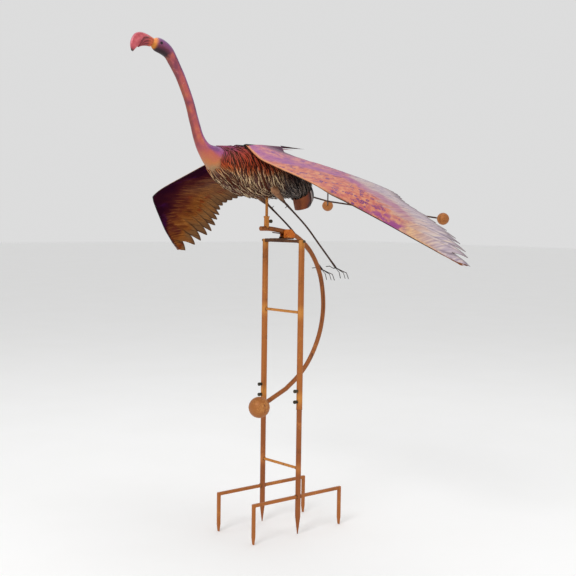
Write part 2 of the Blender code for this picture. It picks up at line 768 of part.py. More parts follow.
def make_body_form():
    """The body's outer form plus the gap, to cut what stands on it."""
    form = loft("body_form", shell_sections(), SHELL_SIDES, "feather",
                lambda at, angle: strand_relief(at, angle) + GAP, closed=True)
    return make_cutter(form)


def make_beak():
    beak = loft("beak", list(reversed(BEAK_SECTIONS)), BEAK_SIDES, "beak")
    add_wall(beak, BEAK_WALL, -1.0)


def smooth_leg(sign, drop):
    """Places and radii along a leg."""
    places = smooth_route([(sign * x, y, z - drop) for x, y, z, _ in LEG_ROUTE], each=2)
    radii = [point[3] for point in LEG_ROUTE]
    points = []
    for index, place in enumerate(places):
        low = index // 2
        high = min(low + 1, len(radii) - 1)
        radius = radii[low] if index % 2 == 0 else (radii[low] + radii[high]) / 2
        points.append((*place, radius))
    return points


def make_leg(side, sign, shell):
    points = smooth_leg(sign, LEG_DROP[side])
    name = side + "_leg"
    leg = rod(name, points, 0.0, "dark", resolution=2)
    sheath = [(x, y, z, radius + GAP) for x, y, z, radius in points[:SHEATH_POINTS]]
    first = Vector(sheath[0][:3])
    back = (first - Vector(sheath[1][:3])).normalized() * GAP
    sheath.insert(0, (*(first + back), sheath[0][3]))
    boolean(shell, make_cutter(rod(name + "_sheath", sheath, 0.0, "dark", resolution=2)), "DIFFERENCE")

    ankle = Vector(points[-1][:3])
    run = (ankle - Vector(points[-2][:3])).normalized()
    centre = ankle + run * (ANKLE_RADIUS + GAP)
    foot = make_ball(side + "_toes", centre, 2 * ANKLE_RADIUS, ANKLE_RINGS, "dark")
    for index, reach in enumerate(TOE_REACH):
        spread = (index - 1) * TOE_SPREAD * sign
        route = [centre + Vector((spread * a, reach * b, -TOE_DROP * c)) for a, b, c in TOE_SHAPE]
        name = "%s_toe_%d" % (side, index + 1)
        toe = rod(name, route, TOE_RADIUS, "dark", resolution=0)
        boolean(foot, make_cutter(toe), "UNION")
    route = [centre + Vector((0.0, y, z)) for y, z in HIND_TOE]
    hind = rod(side + "_hind_toe", route, TOE_RADIUS, "dark", resolution=0)
    boolean(foot, make_cutter(hind), "UNION")

    knee = Vector(LEG_ROUTE[KNEE][:3])
    knee.x *= sign
    knee.z -= LEG_DROP[side]
    lean = Vector(SPUR_LEAN[side]).normalized() * SPUR_LENGTH
    spur = rod(side + "_spur", [knee, knee + lean], TOE_RADIUS, "dark", resolution=0)
    boolean(leg, make_cutter(spur), "UNION")


def droop_height(x):
    """Fall of the wing's surface from its root, for a distance x along the span."""
    fall = 0.0
    for index in range(DROOP_STEPS):
        at = x * (index + 0.5) / DROOP_STEPS
        for (x0, a0), (x1, a1) in zip(WING_DROOP, WING_DROOP[1:]):
            if x0 <= at <= x1:
                angle = a0 + (a1 - a0) * (at - x0) / (x1 - x0)
                break
        fall += math.tan(math.radians(angle)) * x / DROOP_STEPS
    return fall


def along(points, x):
    """The y of a line of (x, y) points at x."""
    for (x0, y0), (x1, y1) in zip(points, points[1:]):
        if min(x0, x1) <= x <= max(x0, x1) and x0 != x1:
            return y0 + (y1 - y0) * (x - x0) / (x1 - x0)
    return points[-1][1]


def root_x():
    return HINGE_X + KNUCKLE_DIAMETER / 2 + GAP


def wing_lines():
    """The wing's front line and the line of its feather tips, from root to tip."""
    front_root = (root_x(), HINGE_FRONT + LUG_THICKNESS + 2 * GAP)
    rear_root = (root_x(), HINGE_REAR - LUG_THICKNESS - 2 * GAP)
    front = [front_root] + list(WING_LEADING_EDGE)
    rear = [rear_root, WING_INNER_EDGE] + list(reversed(WING_TIPS))
    return front, rear


def wing_height(x, y):
    front, rear = wing_lines()
    x_in = min(x, rear[-1][0])
    nose = along(front, min(x_in, front[-1][0]))
    tail = along(rear, x_in)
    chord = max(tail - nose, LEAST_CHORD)
    share = max(0.0, min(1.0, (y - nose) / chord))
    camber = 4 * WING_CAMBER * share * (1 - share) * min(1.0, chord / FULL_CAMBER_CHORD)
    level = hinge_height() - droop_height(max(x - root_x(), 0.0))
    return level - WING_CHORD_DROP * (y - nose) + camber


def feather_lean(at):
    """Direction of a shaft in plan, counted in feathers from the wing's end."""
    return math.radians(TIP_LEAN + (ROOT_LEAN - TIP_LEAN) * at / (len(WING_TIPS) - 1))


def notch_foot(at):
    """Inner end of the notch between two feather tips."""
    tip = WING_TIPS[int(at)]
    following = WING_TIPS[int(at) + 1]
    blend = max(0.0, 1.0 - at / PRIMARY_COUNT)
    depth = SECONDARY_DEPTH + (PRIMARY_DEPTH - SECONDARY_DEPTH) * blend
    lean = feather_lean(at)
    x = (tip[0] + following[0]) / 2 - depth * math.cos(lean) * NOTCH_LEAN
    y = (tip[1] + following[1]) / 2 - depth * math.sin(lean)
    return x, y


def shaft_root(place, lean, front):
    """Where a shaft, run forward from a place, meets the leading edge."""
    x, y = place
    while y > along(front, x):
        x -= SHAFT_STEP * math.cos(lean)
        y -= SHAFT_STEP * math.sin(lean)
    return x, along(front, x)


def spread(points):
    """Points at even distances along a line, one more than the chord's steps."""
    lengths = [math.dist(a, b) for a, b in zip(points, points[1:])]
    row = [points[0]]
    for step in range(1, CHORD_STEPS):
        left = sum(lengths) * step / CHORD_STEPS
        index = 0
        while left > lengths[index]:
            left -= lengths[index]
            index += 1
        start = Vector(points[index])
        row.append(tuple(start.lerp(Vector(points[index + 1]), left / lengths[index])))
    row.append(points[-1])
    return row


def wing_columns():
    """Lines from the leading edge to each tip and notch, from the wing's end to its root."""
    front, rear = wing_lines()
    end = shaft_root(WING_TIPS[0], feather_lean(0), front)
    outer = [point for point in front if point[0] > end[0]]
    columns = [spread([end] + outer + [WING_TIPS[0]])]
    for index in range(1, len(WING_TIPS)):
        for at, place in ((index - 0.5, notch_foot(index - 0.5)), (index, WING_TIPS[index])):
            columns.append(spread([shaft_root(place, feather_lean(at), front), place]))
    nose = (columns[-1][0][0] + root_x()) / 2
    columns.append(spread([(nose, along(front, nose)), WING_INNER_EDGE]))
    columns.append(spread([front[0], rear[0]]))
    return columns


def make_wing(side, sign):
    bm = bmesh.new()
    rows = []
    for column in wing_columns():
        rows.append([bm.verts.new((sign * x, y, wing_height(x, y))) for x, y in column])
    for first, second in zip(rows, rows[1:]):
        for index in range(CHORD_STEPS):
            bm.faces.new((first[index], first[index + 1], second[index + 1], second[index]))
    bmesh.ops.triangulate(bm, faces=bm.faces)
    bmesh.ops.recalc_face_normals(bm, faces=bm.faces)
    mesh = bpy.data.meshes.new(side + "_wing")
    bm.to_mesh(mesh)
    bm.free()
    shade_round(mesh, 40.0)
    add_wall(add_object(side + "_wing", mesh, "pink"), WING_SHEET, 0.0)


def hinge_middle():
    return (HINGE_FRONT + HINGE_REAR) / 2


def make_wing_knuckle(side, sign):
    inner = (HINGE_REAR - HINGE_FRONT) / 2 - LUG_THICKNESS - 2 * GAP
    bore = HINGE_PIN_DIAMETER / 2 + KNUCKLE_SLACK
    knuckle = tube_profile(KNUCKLE_DIAMETER / 2, bore, -inner, inner)
    centre = (sign * HINGE_X, hinge_middle(), hinge_height())
    turned(side + "_wing_knuckle", knuckle, "rust", centre, FACING_BACK, steps=POST_SIDES, closed=True)


def make_block(name, low, high, material):
    mesh = bpy.data.meshes.new(name)
    bm = bmesh.new()
    bmesh.ops.create_cube(bm, size=1.0)
    size = Vector(high) - Vector(low)
    middle = (Vector(high) + Vector(low)) / 2
    for vert in bm.verts:
        vert.co = Vector((vert.co.x * size.x, vert.co.y * size.y, vert.co.z * size.z)) + middle
    bm.to_mesh(mesh)
    bm.free()
    return add_object(name, mesh, material)


def make_hinge(side, sign, body_form):
    """The pin that a wing turns on, with the two lugs that carry it on the body."""
    half = (HINGE_REAR - HINGE_FRONT) / 2
    x = sign * HINGE_X
    pin = turned(side + "_hinge", rod_profile(HINGE_PIN_DIAMETER / 2, -half, half), "rust",
                 (x, hinge_middle(), hinge_height()), FACING_BACK, steps=POST_SIDES)
    for end, low, high in (
        ("front", HINGE_FRONT - LUG_THICKNESS / 2, HINGE_FRONT + LUG_THICKNESS),
        ("rear", HINGE_REAR - LUG_THICKNESS, HINGE_REAR + LUG_THICKNESS / 2),
    ):
        lug = make_block(
            "%s_%s_lug" % (side, end),
            (x - LUG_WIDTH / 2, low, hinge_height() - LUG_ROOT),
            (x + LUG_WIDTH / 2, high, hinge_height() + LUG_CROWN), "rust")
        boolean(lug, body_form, "DIFFERENCE")
        boolean(pin, make_cutter(lug), "UNION")


def make_weight(side, sign):
    """The rod and ball that balance a wing from the other side of the body."""
    ball = Vector((-sign * WEIGHT_X, WEIGHT_Y, WEIGHT_HEIGHTS[side]))
    crossing = Vector((0.0, CROSSING_Y, CROSSING_HEIGHTS[side]))
    foot = Vector((sign * ROD_FOOT_X, ROD_FOOT_Y, 0.0))
    foot.z = wing_height(ROD_FOOT_X, ROD_FOOT_Y) - WING_SHEET / 2 - WEIGHT_ROD_DIAMETER / 2 - 4 * GAP
    bend_y = CROSSING_Y + (ROD_FOOT_Y - CROSSING_Y) * ROD_BEND_X / ROD_FOOT_X
    bend = Vector((sign * ROD_BEND_X, bend_y, 0.0))
    bend.z = wing_height(ROD_BEND_X, bend_y) - ROD_BEND_DROP
    run = ball - crossing
    start = ball - run.normalized() * (WEIGHT_DIAMETER / 2 + GAP)
    route = smooth_route([crossing, crossing.lerp(bend, ROD_SAG_SHARE), bend, foot], each=3)
    rod(side + "_weight_rod", [tuple(start)] + route, WEIGHT_ROD_DIAMETER / 2, "rust", resolution=2)
    make_ball(side + "_weight", ball, WEIGHT_DIAMETER, WEIGHT_RINGS, "rust")


def build():
    make_posts()
    make_rungs()
    make_feet()
    make_bracket()
    rocker_axis = make_axis("rocker_axis", (0.0, PIVOT_Y, hub_height()))
    fixed = set(PARTS.objects)
    fixed_cutters = set(CUTTERS.objects)
    make_arm()
    make_sleeve()
    shell = make_shell()
    body_form = make_body_form()
    make_beak()
    for side, sign in SIDES.items():
        make_leg(side, sign, shell)
        make_hinge(side, sign, body_form)
    carry_new(rocker_axis, fixed)
    for side, sign in SIDES.items():
        place = (sign * HINGE_X, hinge_middle(), hinge_height())
        wing_axis = make_axis(side + "_wing_axis", place, rocker_axis)
        made = set(PARTS.objects)
        make_wing(side, sign)
        make_wing_knuckle(side, sign)
        make_weight(side, sign)
        carry_new(wing_axis, made)
    lift = pivot_height() - hub_height()
    rocker_axis.location.z += lift
    for cutter in CUTTERS.objects:
        if cutter not in fixed_cutters:
            cutter.location.z += lift


build()
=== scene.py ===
# Looks of the kinetic flamingo garden stake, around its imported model.
# Metres, +Z up. The head points to -Y and the bird's left wing is on +X.

import math
import random

import bpy
from mathutils import Matrix, Vector, noise


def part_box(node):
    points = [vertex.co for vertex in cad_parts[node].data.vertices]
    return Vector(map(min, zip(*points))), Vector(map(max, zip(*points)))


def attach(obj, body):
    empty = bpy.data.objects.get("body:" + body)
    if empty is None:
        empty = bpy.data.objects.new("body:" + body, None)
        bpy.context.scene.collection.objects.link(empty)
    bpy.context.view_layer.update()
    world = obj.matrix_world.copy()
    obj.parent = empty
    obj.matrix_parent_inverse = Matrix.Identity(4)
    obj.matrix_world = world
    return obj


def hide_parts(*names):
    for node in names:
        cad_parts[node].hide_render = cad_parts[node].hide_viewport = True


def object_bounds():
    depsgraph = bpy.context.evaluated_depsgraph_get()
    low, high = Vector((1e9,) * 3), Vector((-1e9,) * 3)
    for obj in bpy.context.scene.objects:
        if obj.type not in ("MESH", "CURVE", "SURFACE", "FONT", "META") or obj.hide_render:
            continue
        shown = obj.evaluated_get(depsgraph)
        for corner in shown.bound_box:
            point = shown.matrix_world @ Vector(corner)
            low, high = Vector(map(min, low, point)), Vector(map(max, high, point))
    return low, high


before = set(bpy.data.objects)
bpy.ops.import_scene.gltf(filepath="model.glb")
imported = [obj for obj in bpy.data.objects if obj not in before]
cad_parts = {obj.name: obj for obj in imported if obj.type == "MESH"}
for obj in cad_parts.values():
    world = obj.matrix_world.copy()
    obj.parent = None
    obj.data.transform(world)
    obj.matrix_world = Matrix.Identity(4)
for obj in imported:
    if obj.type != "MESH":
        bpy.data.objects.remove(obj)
CAD_BOX = [list(corner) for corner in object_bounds()]

# Camera of the photograph
CAMERA_PLACE = (3.132, -2.658, 1.093)
CAMERA_AZIMUTH = 49.386
CAMERA_PITCH = 3.807
CAMERA_ROLL = 0.805
CAMERA_LENS = 65.11
SENSOR_WIDTH = 36.0

# Studio: each light's name, place, size and power
FLOOR_HALF = 40.0
LIGHT_TARGET = (0.0, 0.0, 1.1)
LIGHTS = (
    ("key_light", (1.8, -4.2, 4.6), 2.4, 120.0),
    ("side_light", (4.6, 1.6, 2.6), 2.6, 30.0),
    ("top_light", (-1.0, 1.0, 5.5), 3.5, 40.0),
)
SKY_STRENGTH = 0.72

SIDES = {"left": 1, "right": -1}
UP = (0, 0, 1)

# Bird's shell: upper edge (y, z), lower edge (y, z) and half width of each section
SHELL_WALL = 0.0006
SHELL_SECTIONS = (
    (-0.6125, 1.7190, -0.6220, 1.6910, 0.0125),
    (-0.5900, 1.7245, -0.6060, 1.6750, 0.0190),
    (-0.5650, 1.7170, -0.5800, 1.6660, 0.0230),
    (-0.5410, 1.6990, -0.5570, 1.6550, 0.0225),
    (-0.5220, 1.6740, -0.5420, 1.6350, 0.0195),
    (-0.5010, 1.6400, -0.5270, 1.6130, 0.0175),
    (-0.4766, 1.5957, -0.5064, 1.5803, 0.0168),
    (-0.4423, 1.5204, -0.4727, 1.5076, 0.0165),
    (-0.4136, 1.4386, -0.4474, 1.4274, 0.0178),
    (-0.3945, 1.3910, -0.4315, 1.3790, 0.0200),
    (-0.3740, 1.3665, -0.4160, 1.3450, 0.0270),
    (-0.3480, 1.3585, -0.3980, 1.3180, 0.0360),
    (-0.3120, 1.3580, -0.3720, 1.2850, 0.0500),
    (-0.2700, 1.3590, -0.3250, 1.2380, 0.0660),
    (-0.2250, 1.3600, -0.2500, 1.1960, 0.0780),
    (-0.1700, 1.3580, -0.1650, 1.1780, 0.0830),
    (-0.1100, 1.3530, -0.0850, 1.1750, 0.0820),
    (-0.0480, 1.3400, -0.0150, 1.1780, 0.0750),
    (0.0120, 1.3180, 0.0320, 1.1810, 0.0640),
    (0.0660, 1.2830, 0.0520, 1.1790, 0.0530),
    (0.1120, 1.2430, 0.0570, 1.1730, 0.0460),
    (0.1370, 1.2060, 0.0590, 1.1640, 0.0420),
    (0.1400, 1.1760, 0.0610, 1.1520, 0.0390),
    (0.1240, 1.1460, 0.0690, 1.1260, 0.0340),
)
SKIN_RINGS_EACH = 5
SKIN_SIDES = 60
SEAM_HEIGHT = 0.0007
DENT_HEIGHT = 0.0006
COVERED_SINK = 0.0008
HEAD_SLACK = 0.0013
EYE_PLACE = (0.0200, -0.5900, 1.7030)
EYE_RADIUS = 0.0034
EYE_LEAN = (-0.12, 0.10)
EYE_BULGE = 0.6
EYE_DEPTH = 0.004
EYE_RING_RADIUS = 0.0007

BEAK_SECTIONS = (
    (-0.6130, 1.7200, -0.6225, 1.6905, 0.0125),
    (-0.6400, 1.7305, -0.6400, 1.6915, 0.0130),
    (-0.6660, 1.7345, -0.6550, 1.6900, 0.0130),
    (-0.6880, 1.7265, -0.6680, 1.6860, 0.0120),
    (-0.7020, 1.7060, -0.6800, 1.6790, 0.0100),
    (-0.7060, 1.6860, -0.6890, 1.6700, 0.0070),
    (-0.7025, 1.6680, -0.6945, 1.6640, 0.0035),
)
LOWER_BEAK_END = 3.6
LOWER_BEAK_RISE = 0.0010
LOWER_BEAK_LINES = 4
LOWER_BEAK_LINE_HEIGHT = 0.0007
LOWER_BEAK_SINK = 0.0004
LOWER_BEAK_WALL = 0.0008
LOWER_BEAK_SIDES = 48
BEAK_FINE = 6
BEAK_SIDES = 40

# Strips that cover the body, laid in rows over its sections
STRAND_TOP_START = 11.3
STRAND_FLANK_START = 11.9
STRAND_BELLY_START = 12.3
STRAND_END = 19.9
STRAND_ROW = 0.36
STRAND_PITCH = 0.0082
STRAND_LENGTH = 0.062
STRAND_HALF_WIDTH = 0.0028
STRAND_RIDGE = 0.0024
STRAND_RISE = 0.0012
STRAND_STEPS = 9
STRAND_SWAY = 14.0
STRAND_WAVES = 7.0
STRAND_TURN = 6.0
STRAND_OVERRUN = 0.7
STRAND_BELLY_GAP = 0.04
LEAST_SPACING = 0.02

# Dark band at the tail, from one section to another, with its half width as an angle
TAIL_START = 18.8
TAIL_END = 23.0
TAIL_REACH = 1.42
TAIL_LAYERS = (0.0016, 0.0006)
TAIL_BOW = 0.0014
TAIL_STEPS = 26
TAIL_COLUMNS = 12

# Lifted tips along the back
BACK_TIP_COUNT = 46
BACK_TIP_START = 12.4
BACK_TIP_RUN = 2.9
BACK_TIP_SPREAD = 0.30

# Legs, drawn for the bird's left side
LEG_ROUTE = (
    (0.059, -0.132, 1.228, 0.0080),
    (0.058, -0.098, 1.204, 0.0155),
    (0.053, -0.066, 1.177, 0.0105),
    (0.050, -0.043, 1.159, 0.0060),
    (0.049, -0.022, 1.143, 0.0036),
    (0.047, 0.075, 1.066, 0.0036),
    (0.044, 0.155, 0.988, 0.0036),
    (0.042, 0.243, 0.900, 0.0036),
)
KNEE = 4
SPUR_LENGTH = 0.016
SPUR_LEAN = {"left": (0.0, -0.8, -0.6), "right": (0.0, 0.8, 0.6)}
LEG_DROP = {"left": 0.0, "right": 0.010}

# Rocking arm and stand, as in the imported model
ARM_RADIUS = 0.009
ARM_ROUTE = (
    (-0.116, 1.0535), (-0.070, 1.0530), (-0.020, 1.0465), (0.016, 1.0400), (0.063, 1.025),
    (0.112, 0.993), (0.148, 0.957), (0.182, 0.905), (0.207, 0.838), (0.219, 0.745),
    (0.209, 0.659), (0.182, 0.583), (0.139, 0.513), (0.087, 0.460), (0.025, 0.416),
)
SLEEVE_Y = -0.0865
ARM_TIP = (0.0016, 0.0010)
SLEEVE_NECK_SHARE = 0.85
WELD_RADIUS = 0.0022
BALL_WELD_RADIUS = 0.0026
POST_WELD_RADIUS = 0.0014
RAIL_WELD_RADIUS = 0.0016
FRAME_STEPS = 8
BALL_SEAM = 0.0004
BALL_DENT = 0.0048
WELD_SINK = 0.0004
BRACKET_PLATE_TOP = 1.0165
STAND_JOINTS = (1.003, 0.730, 0.395, 0.118)
AXIS_RADIUS = 0.0001
SHANK_RADIUS = 0.0028
THREAD_RADII = (0.0030, 0.0026)
THREAD_PITCH = 0.0009
KNOB_LENGTH = 0.008
KNOB_SIDES = 56
KNURL_DEPTH = 0.05
POST_NUT_RADIUS = 0.0065
SLEEVE_NUT_RADIUS = 0.0060

# Wings, drawn for the bird's left side in plan
HINGE_HEIGHT = 1.366
ROOT_X = 0.03555
ROOT_FRONT = -0.2174
ROOT_REAR = -0.0506
WING_SHEET = 0.0006
LEADING_EDGE = (
    (0.085, -0.226), (0.180, -0.247), (0.360, -0.253), (0.520, -0.257), (0.560, -0.242),
    (0.611, -0.195), (0.655, -0.150), (0.739, -0.060), (0.800, 0.020), (0.832, 0.075),
)
WRIST = 4
WING_TIPS = (
    (0.845, 0.121), (0.809, 0.151), (0.785, 0.167), (0.750, 0.178), (0.725, 0.184),
    (0.687, 0.177), (0.650, 0.160), (0.622, 0.151), (0.586, 0.128), (0.557, 0.120),
    (0.532, 0.122), (0.509, 0.133), (0.488, 0.146), (0.464, 0.157), (0.436, 0.166),
    (0.405, 0.171), (0.372, 0.173), (0.338, 0.172), (0.303, 0.167), (0.267, 0.158),
    (0.231, 0.143), (0.197, 0.122),
)
INNER_EDGE = (0.140, 0.066)
PRIMARY_COUNT = 10
PRIMARY_DEPTH = 0.072
SECONDARY_DEPTH = 0.014
TIP_LEAN = 62.0
ROOT_LEAN = 84.0
NOTCH_LEAN = 0.8
WING_DROOP = (
    (0.0, 33.0), (0.06, 26.0), (0.13, 17.5), (0.30, 16.5), (0.42, 18.5), (0.50, 27.0),
    (0.56, 35.5), (0.70, 39.0), (0.78, 44.0), (0.90, 47.0),
)
DROOP_STEPS = 60
WING_CHORD_DROP = 0.06
WING_CAMBER = 0.024
FULL_CAMBER_CHORD = 0.30
LEAST_CHORD = 0.05
COLUMNS_EACH = 10
WING_ROWS = 36
RIB_HEIGHT = 0.0011
LAP_HEIGHT = 0.0012
BARB_HEIGHT = 0.00022
WING_DENT_HEIGHT = 0.0005
WING_EDGE_RADIUS = 0.0016

# Constants of the paints; a Mix node's colours have socket numbers, as their names repeat
COAT_ROUGHNESS = 0.35
NOISE_ROUGHNESS = 0.55
BUMP_STRENGTH = 0.6
SPREAD_SCALE = 35.0
MIX_SOCKETS = (0, 6, 7)


def srgb(red, green, blue):
    """A colour seen as 0 to 255 values, as the linear values that a shader takes."""
    linear = []
    for value in (red, green, blue):
        share = value / 255
        linear.append(share / 12.92 if share <= 0.04045 else ((share + 0.055) / 1.055) ** 2.4)
    return (*linear, 1.0)


class Number:
    """A number that a node gives at each point of a surface, with arithmetic on it."""

    def __init__(self, paint, socket):
        self.paint = paint
        self.socket = socket

    def math(self, operation, first, second=0.0):
        return self.paint.number(0, "ShaderNodeMath", {0: first, 1: second}, operation=operation)

    def __add__(self, other):
        return self.math("ADD", self, other)

    def __sub__(self, other):
        return self.math("SUBTRACT", self, other)

    def __rsub__(self, other):
        return self.math("SUBTRACT", other, self)

    def __mul__(self, other):
        return self.math("MULTIPLY", self, other)

    def __abs__(self):
        return self.math("ABSOLUTE", self)

    def step(self, low, high):
        """0 below low and 1 above high, smooth between them; low may be the larger."""
        inputs = {"Value": self, "From Min": low, "From Max": high}
        return self.paint.number("Result", "ShaderNodeMapRange", inputs, interpolation_type="SMOOTHSTEP")


class Paint:
    """A material and short calls for the nodes that colour it."""

    def __init__(self, name, roughness=0.5, metallic=0.3, coat=0.0, sheen=0.3):
        self.material = bpy.data.materials.new(name)
        self.material.use_nodes = True
        self.tree = self.material.node_tree
        self.shader = self.tree.nodes["Principled BSDF"]
        constants = {"Metallic": metallic, "Roughness": roughness, "Coat Weight": coat,
                     "Coat Roughness": COAT_ROUGHNESS, "Specular IOR Level": sheen}
        for key, value in constants.items():
            self.shader.inputs[key].default_value = value
        self.place = self.node("ShaderNodeTexCoord").outputs["Object"]

    def node(self, kind, inputs=None, **settings):
        made = self.tree.nodes.new(kind)
        for key, value in settings.items():
            setattr(made, key, value)
        for key, value in (inputs or {}).items():
            if isinstance(value, Number):
                value = value.socket
            if isinstance(value, bpy.types.NodeSocket):
                self.tree.links.new(value, made.inputs[key])
            else:
                made.inputs[key].default_value = value
        return made

    def number(self, output, kind, inputs=None, **settings):
        """The number that a new node gives at each point of the surface."""
        return Number(self, self.node(kind, inputs, **settings).outputs[output])

    def value(self, name):
        """A number stored on the mesh."""
        return self.number("Fac", "ShaderNodeAttribute", attribute_name=name)

    def axis(self, letter, vector=None):
        return self.number(letter, "ShaderNodeSeparateXYZ", {"Vector": vector or self.place})

    def vector(self, x, y):
        return self.node("ShaderNodeCombineXYZ", {"X": x, "Y": y}).outputs["Vector"]

    def stretch(self, x, y, z):
        inputs = {"Vector": self.place, "Scale": (x, y, z)}
        return self.node("ShaderNodeMapping", inputs).outputs["Vector"]

    def noise(self, scale, detail=4.0, vector=None):
        inputs = {"Vector": vector or self.place, "Scale": scale, "Detail": detail,
                  "Roughness": NOISE_ROUGHNESS}
        return self.number("Fac", "ShaderNodeTexNoise", inputs)

    def cells(self, scale, vector=None):
        """Distance from the middle of the nearest cell."""
        inputs = {"Vector": vector or self.place, "Scale": scale}
        return self.number("Distance", "ShaderNodeTexVoronoi", inputs)

    def ramp(self, value, stops):
        """A colour for each stop: its position, then red, green and blue."""
        node = self.node("ShaderNodeValToRGB", {"Fac": value})
        elements = node.color_ramp.elements
        while len(elements) < len(stops):
            elements.new(0.5)
        for element, (position, *colour) in zip(elements, stops):
            element.position = position
            element.color = srgb(*colour)
        return node.outputs["Color"]

    def mix(self, share, first, second):
        """The first colour where share is 0 and the second where it is 1."""
        colours = [srgb(*colour) if isinstance(colour, tuple) else colour for colour in (first, second)]
        inputs = dict(zip(MIX_SOCKETS, [share] + colours))
        return self.node("ShaderNodeMix", inputs, data_type="RGBA").outputs[2]

    def over(self, share, strength, under, coat):
        """The second colour laid over the first where share is 1, as strongly as given."""
        return self.mix(share * strength, under, coat)

    def done(self, colour, height=None, depth=0.0004, rough=None):
        """Sets the colour, and the bump and the roughness if they are given."""
        self.tree.links.new(colour, self.shader.inputs["Base Color"])
        if height is not None:
            inputs = {"Height": height, "Distance": depth, "Strength": BUMP_STRENGTH}
            bump = self.node("ShaderNodeBump", inputs)
            self.tree.links.new(bump.outputs["Normal"], self.shader.inputs["Normal"])
        if rough is not None:
            inputs = {"Value": self.noise(SPREAD_SCALE), "To Min": rough[0], "To Max": rough[1]}
            spread = self.node("ShaderNodeMapRange", inputs)
            self.tree.links.new(spread.outputs["Result"], self.shader.inputs["Roughness"])
        return self.material


def rusty(name, dark, base, light, bright_heights=(), reach=0.03):
    """Brushed rust-brown paint, lighter near the given heights where the joints are."""
    paint = Paint(name, metallic=0.2, coat=0.08)
    broad = paint.noise(9.0)
    fine = paint.noise(140.0, 6.0)
    grain = broad * 0.65 + fine * 0.35
    colour = paint.ramp(grain, ((0.30, *dark), (0.46, *base), (0.56, *base), (0.70, *light)))
    height = paint.axis("Z")
    for bright in bright_heights:
        away = abs(height - bright)
        colour = paint.over(away.step(reach, 0.0), 0.75, colour, light)
    scratch = paint.noise(60.0, 3.0, paint.stretch(1.0, 1.0, 0.05))
    colour = paint.mix(scratch.step(0.62, 0.74), colour, dark)
    return paint.done(colour, fine, 0.0005, rough=(0.38, 0.62))


def skin_paint():
    """Neck and head: brick and salmon, a plum head, a purple rear edge; painted shade, near black, on the
    skin below the strips.
    """
    paint = Paint("skin_paint", metallic=0.15, coat=0.12)
    along = paint.value("along")
    back = paint.value("back")
    mottle = paint.noise(26.0, 5.0)
    fine = paint.noise(160.0, 5.0)
    wave = (mottle - 0.5) * 2.2
    at = along + wave
    neck = paint.ramp(mottle, (
        (0.32, 126, 58, 76), (0.45, 158, 74, 80), (0.56, 176, 84, 76), (0.68, 186, 104, 72)))
    drift = (mottle - 0.5) * 0.5
    chest = paint.ramp(paint.axis("Z").step(1.2, 1.39) + drift, (
        (0.08, 132, 104, 72), (0.3, 160, 122, 84), (0.52, 186, 112, 66), (0.76, 180, 90, 78),
        (0.92, 160, 80, 100)))
    colour = paint.mix(along.step(9.0, 11.0), neck, chest)
    purple = paint.ramp(mottle, ((0.35, 78, 46, 92), (0.50, 112, 62, 124), (0.66, 158, 80, 130)))
    wide = along.step(8.0, 11.5) * 0.16
    colour = paint.over((back + wide + wave * 0.12).step(0.5, 0.78), 0.85, colour, purple)
    colour = paint.over(back.step(0.16, 0.02) * along.step(10.5, 8.5), 0.5, colour, (96, 52, 44))
    speckle = paint.cells(150.0).step(0.22, 0.1) * paint.noise(60.0).step(0.52, 0.62)
    colour = paint.over(speckle, 0.55, colour, (232, 176, 160))
    plum = paint.ramp(back + wave * 0.12, (
        (0.1, 40, 14, 24), (0.34, 98, 40, 62), (0.6, 124, 64, 104), (0.88, 120, 84, 128)))
    colour = paint.mix(at.step(3.7, 2.6), colour, plum)
    orange = paint.mix(back.step(0.2, 0.6), (196, 120, 40), (226, 142, 76))
    colour = paint.mix((along + wave * 0.3).step(1.0, 0.35), colour, orange)
    # Painted shade: the skin under the strips, seen in the gaps between them, is made near black, brown
    # towards the front.
    under = paint.ramp(fine, ((0.35, 12, 5, 6), (0.6, 38, 16, 14), (0.75, 62, 28, 20)))
    under = paint.mix(paint.axis("Y").step(0.0, -0.16), under, (84, 38, 24))
    colour = paint.mix(paint.value("covered"), colour, under)
    tail = paint.ramp(back + wave * 0.15, (
        (0.03, 120, 54, 16), (0.14, 146, 74, 24), (0.34, 120, 52, 18), (0.5, 64, 20, 14),
        (0.66, 24, 9, 10)))
    colour = paint.mix(along.step(19.6, 20.4), colour, tail)
    return paint.done(colour, fine + mottle, 0.0006, rough=(0.38, 0.58))


